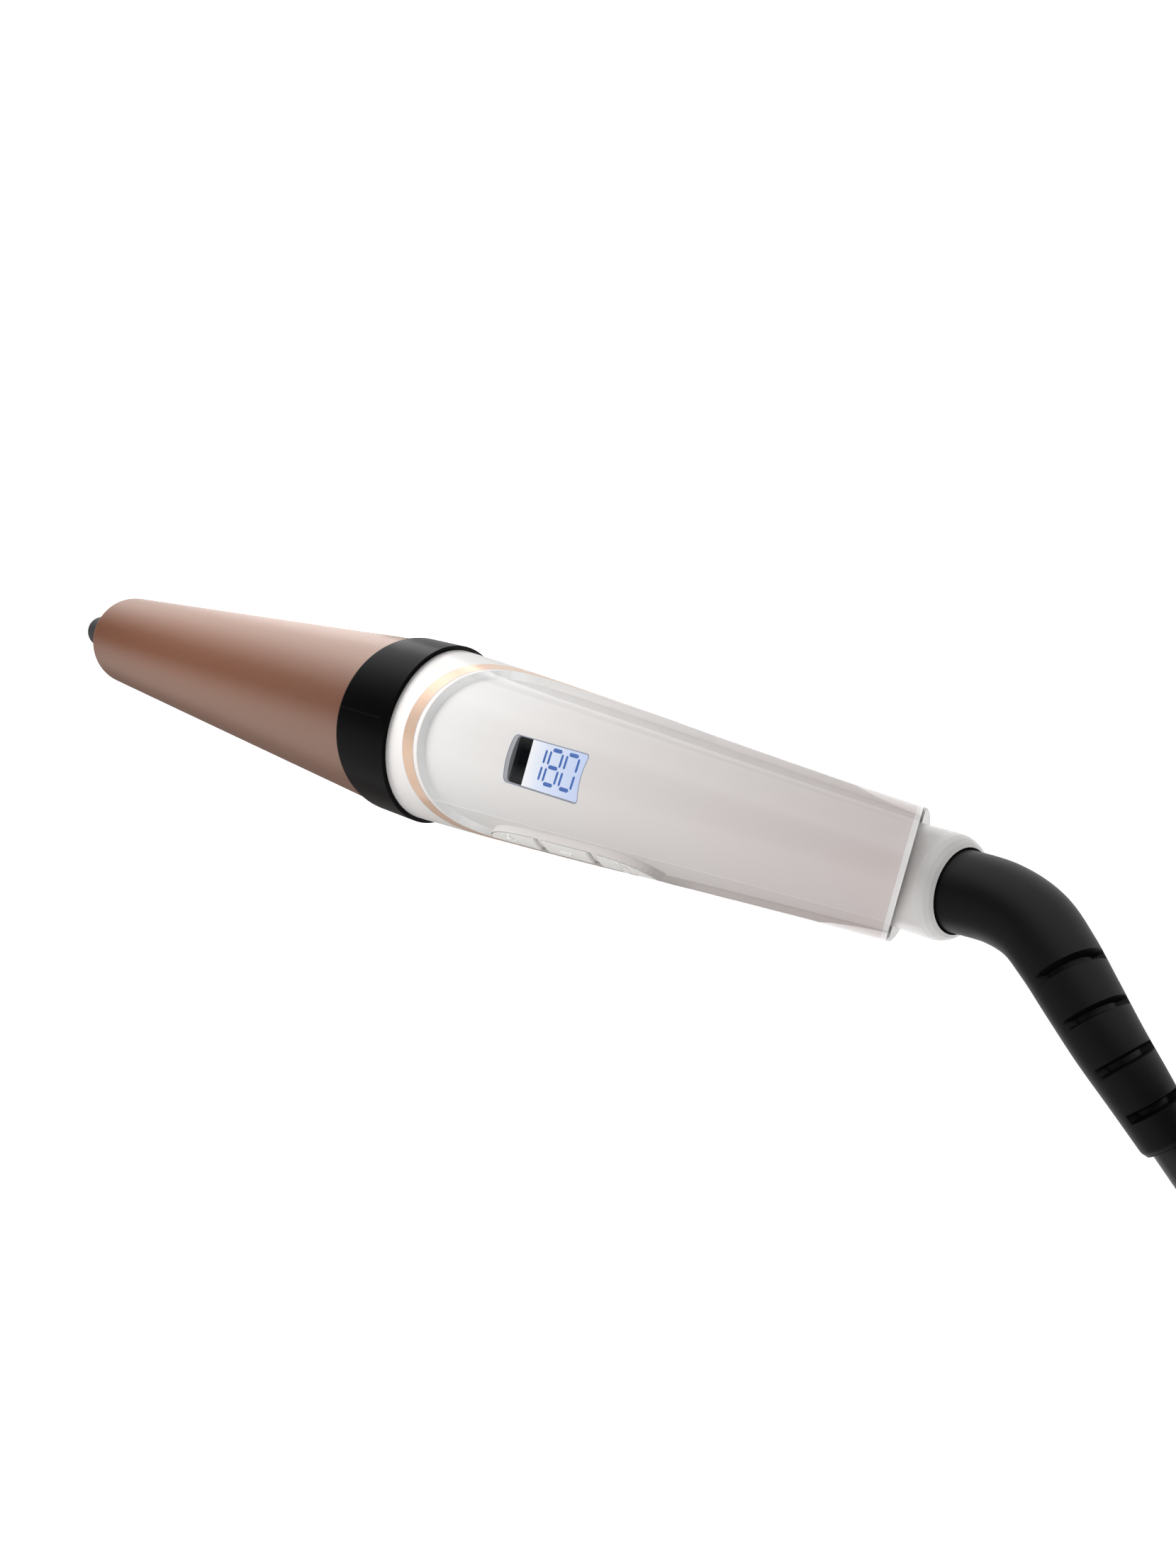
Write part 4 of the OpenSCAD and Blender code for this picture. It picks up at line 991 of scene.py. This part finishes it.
class IRON_OT_display(Operator):
    """Finishes the display and lays its digits on the glass"""

    bl_idname = "iron.display"
    bl_label = "Display"

    def execute(self, context):
        # The glass is a flat sheet: its highest point is at its front, its last at its rear.
        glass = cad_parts["lcd_glass"].data
        points = np.empty(len(glass.vertices) * 3)
        glass.vertices.foreach_get("co", points)
        points = points.reshape(-1, 3)
        front, rear = points[points[:, 2].argmax()], points[points[:, 0].argmax()]
        middle = (front + rear) / 2 * (1, 0, 1)
        along = unit((rear - front) * (1, 0, 1))
        normal = np.cross(along, (0, 1, 0))

        def on_glass(s, y, height):
            """Point over the display: s along it, y across it, and a height above the glass."""
            return (middle + s[..., None] * along + y[..., None] * np.array([0, 1.0, 0])
                    + height[..., None] * normal)

        give_finish(lit_display(middle[0] + STRIP_END, middle[0] + GLASS_END), "lcd_glass")
        # ABS surround, satin grey.
        give_finish(moulded("satin_grey_surround", "#A5A6AA", "#B0B1B5", 0.45, 0.5),
                    "display_bezel")

        parts = []
        for place, names in enumerate(SHOWN):
            for name in names:
                x0, y0, x1, y1 = BARS[name]
                start, end = np.array([[x0, y0], [x1, y1]]) * (DIGIT_WIDTH, DIGIT_HALF)
                outline = bar_outline(start, end, LEVEL_BAR if y0 == y1 else UPRIGHT_BAR)
                x = (DIGIT_X - DIGIT_WIDTH + place * DIGIT_PITCH + outline[:, 0]
                     + DIGIT_LEAN * outline[:, 1])
                y = outline[:, 1] + DIGIT_Y
                height = np.repeat([[DIGIT_LOW], [DIGIT_HIGH]], len(outline), 1)
                parts.append(grid(on_glass(np.stack([x, x]), np.stack([y, y]), height)))
        make_piece("display_digits", joined(parts), display_ink(), "iron", smooth=False)
        return {"FINISHED"}


class IRON_OT_keys(Operator):
    """Finishes the keys and moulds their marks"""

    bl_idname = "iron.keys"
    bl_label = "Keys"

    def execute(self, context):
        # ABS caps from a fine-grained mould: satin white.
        white = moulded("satin_white_keys", "#F0EEEA", "#F6F4F1", 0.34, 0.6, bump=0.05)
        give_finish(white, "plus_key", "minus_key", "power_key")

        def on_key(x, arc, height):
            """Point over the key caps."""
            return on_round(x, arc, height + KEY_PROUD, KEY_ANGLE, grip_radius)

        span = np.linspace(-MARK_HALF, MARK_HALF, 12)
        level = np.stack([span, 0 * span], -1)
        upright = level[:, ::-1]
        # Ring of the power mark, open at its top, where the stem goes through.
        turn = np.radians(np.linspace(130, 410, 40))
        ring = np.stack([np.cos(turn), np.sin(turn)], -1) * MARK_RING
        stem = np.stack([0 * span, MARK_STEM + span * 0.5], -1)
        marks = {"plus": [level, upright], "minus": [level], "power": [ring, stem]}
        for name, lines in marks.items():
            low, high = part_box(name + "_key")
            centre = ((low.x + high.x) / 2, 0.0)
            parts = [ribbon(line + centre, MARK_BAR, MARK_HEIGHT, on_key) for line in lines]
            make_piece(name + "_mark", joined(parts), white, name + "_key", sharp=35)
        return {"FINISHED"}


class IRON_OT_inside(Operator):
    """Finishes the pieces inside the barrel and the handle"""

    bl_idname = "iron.inside"
    bl_label = "Inside"

    def execute(self, context):
        # Extruded aluminium: bright, with drawing lines along the barrel.
        give_finish(plated("extruded_aluminium", "#B9BBBE", "#CFD1D4", 0.38, brush=(0.05, 1, 1),
                           brush_mm=0.8, bump=0.2), "heater_block_left", "heater_block_right")
        # Zinc-plated steel screws and a rolled steel spring.
        give_finish(plated("zinc_plated_steel", "#A9ABAE", "#C3C5C8", 0.3),
                    "tip_screw", "pressure_spring", "housing_screws")
        # Brass strip and rings, as turned and stamped.
        give_finish(plated("bright_brass", "#B8924A", "#D2AE66", 0.28),
                    "slip_rings", "brush_contacts", "thermal_fuse")
        # Nickel plate on brass pins.
        give_finish(plated("nickel_plated_pins", "#BFBFC1", "#D3D3D5", 0.2), "plug_pins")
        # Unglazed steatite: dry and cream.
        give_finish(moulded("unglazed_steatite", "#D4C7A6", "#E2D6B8", 0.8, 0.4, bump=0.2),
                    "ptc_heater", "temperature_sensor")
        # Natural polyimide and acetal.
        give_finish(moulded("natural_heat_plastic", "#D2C9B4", "#DDD5C2", 0.5, 0.5),
                    "insulator_ring", "swivel_bush")
        # Opal acrylic light guide.
        give_finish(moulded("opal_light_guide", "#EDEFF2", "#F6F7F9", 0.4, 1.0), "backlight")
        # Black nylon carriers, as moulded.
        give_finish(moulded("black_nylon_carrier", "#242426", "#2E2E30", 0.5, 0.5),
                    "lcd_holder", "brush_holder", "swivel_hub")
        give_finish(circuit_board(), "main_board", "key_board")
        give_finish(woven_sleeve(), "heater_leads")
        return {"FINISHED"}


class IRON_PT_panel(Panel):
    """Lists the steps that dress the iron"""

    bl_idname = "IRON_PT_panel"
    bl_label = "Curling Iron"
    bl_space_type = "VIEW_3D"
    bl_region_type = "UI"
    bl_category = "Curling Iron"

    def draw(self, context):
        for step in STEPS:
            self.layout.operator(step.bl_idname)
        for settings in (context.scene.iron_lead, context.scene.iron_colours):
            for key in settings.bl_rna.properties.keys():
                if key not in ("rna_type", "name"):
                    self.layout.prop(settings, key)


STEPS = (IRON_OT_stage, IRON_OT_lead, IRON_OT_strain_relief, IRON_OT_barrel, IRON_OT_collar,
         IRON_OT_housing, IRON_OT_display, IRON_OT_keys, IRON_OT_inside)
CLASSES = (LeadSettings, ColourSettings, *STEPS, IRON_PT_panel)


def register():
    for cls in CLASSES:
        bpy.utils.register_class(cls)
    bpy.types.Scene.iron_lead = PointerProperty(type=LeadSettings)
    bpy.types.Scene.iron_colours = PointerProperty(type=ColourSettings)


def unregister():
    del bpy.types.Scene.iron_colours
    del bpy.types.Scene.iron_lead
    for cls in reversed(CLASSES):
        bpy.utils.unregister_class(cls)


def main():
    """Dresses the iron step by step."""
    register()
    for step in STEPS:
        group, call = step.bl_idname.split(".")
        getattr(getattr(bpy.ops, group), call)()


if __name__ == "__main__":
    main()
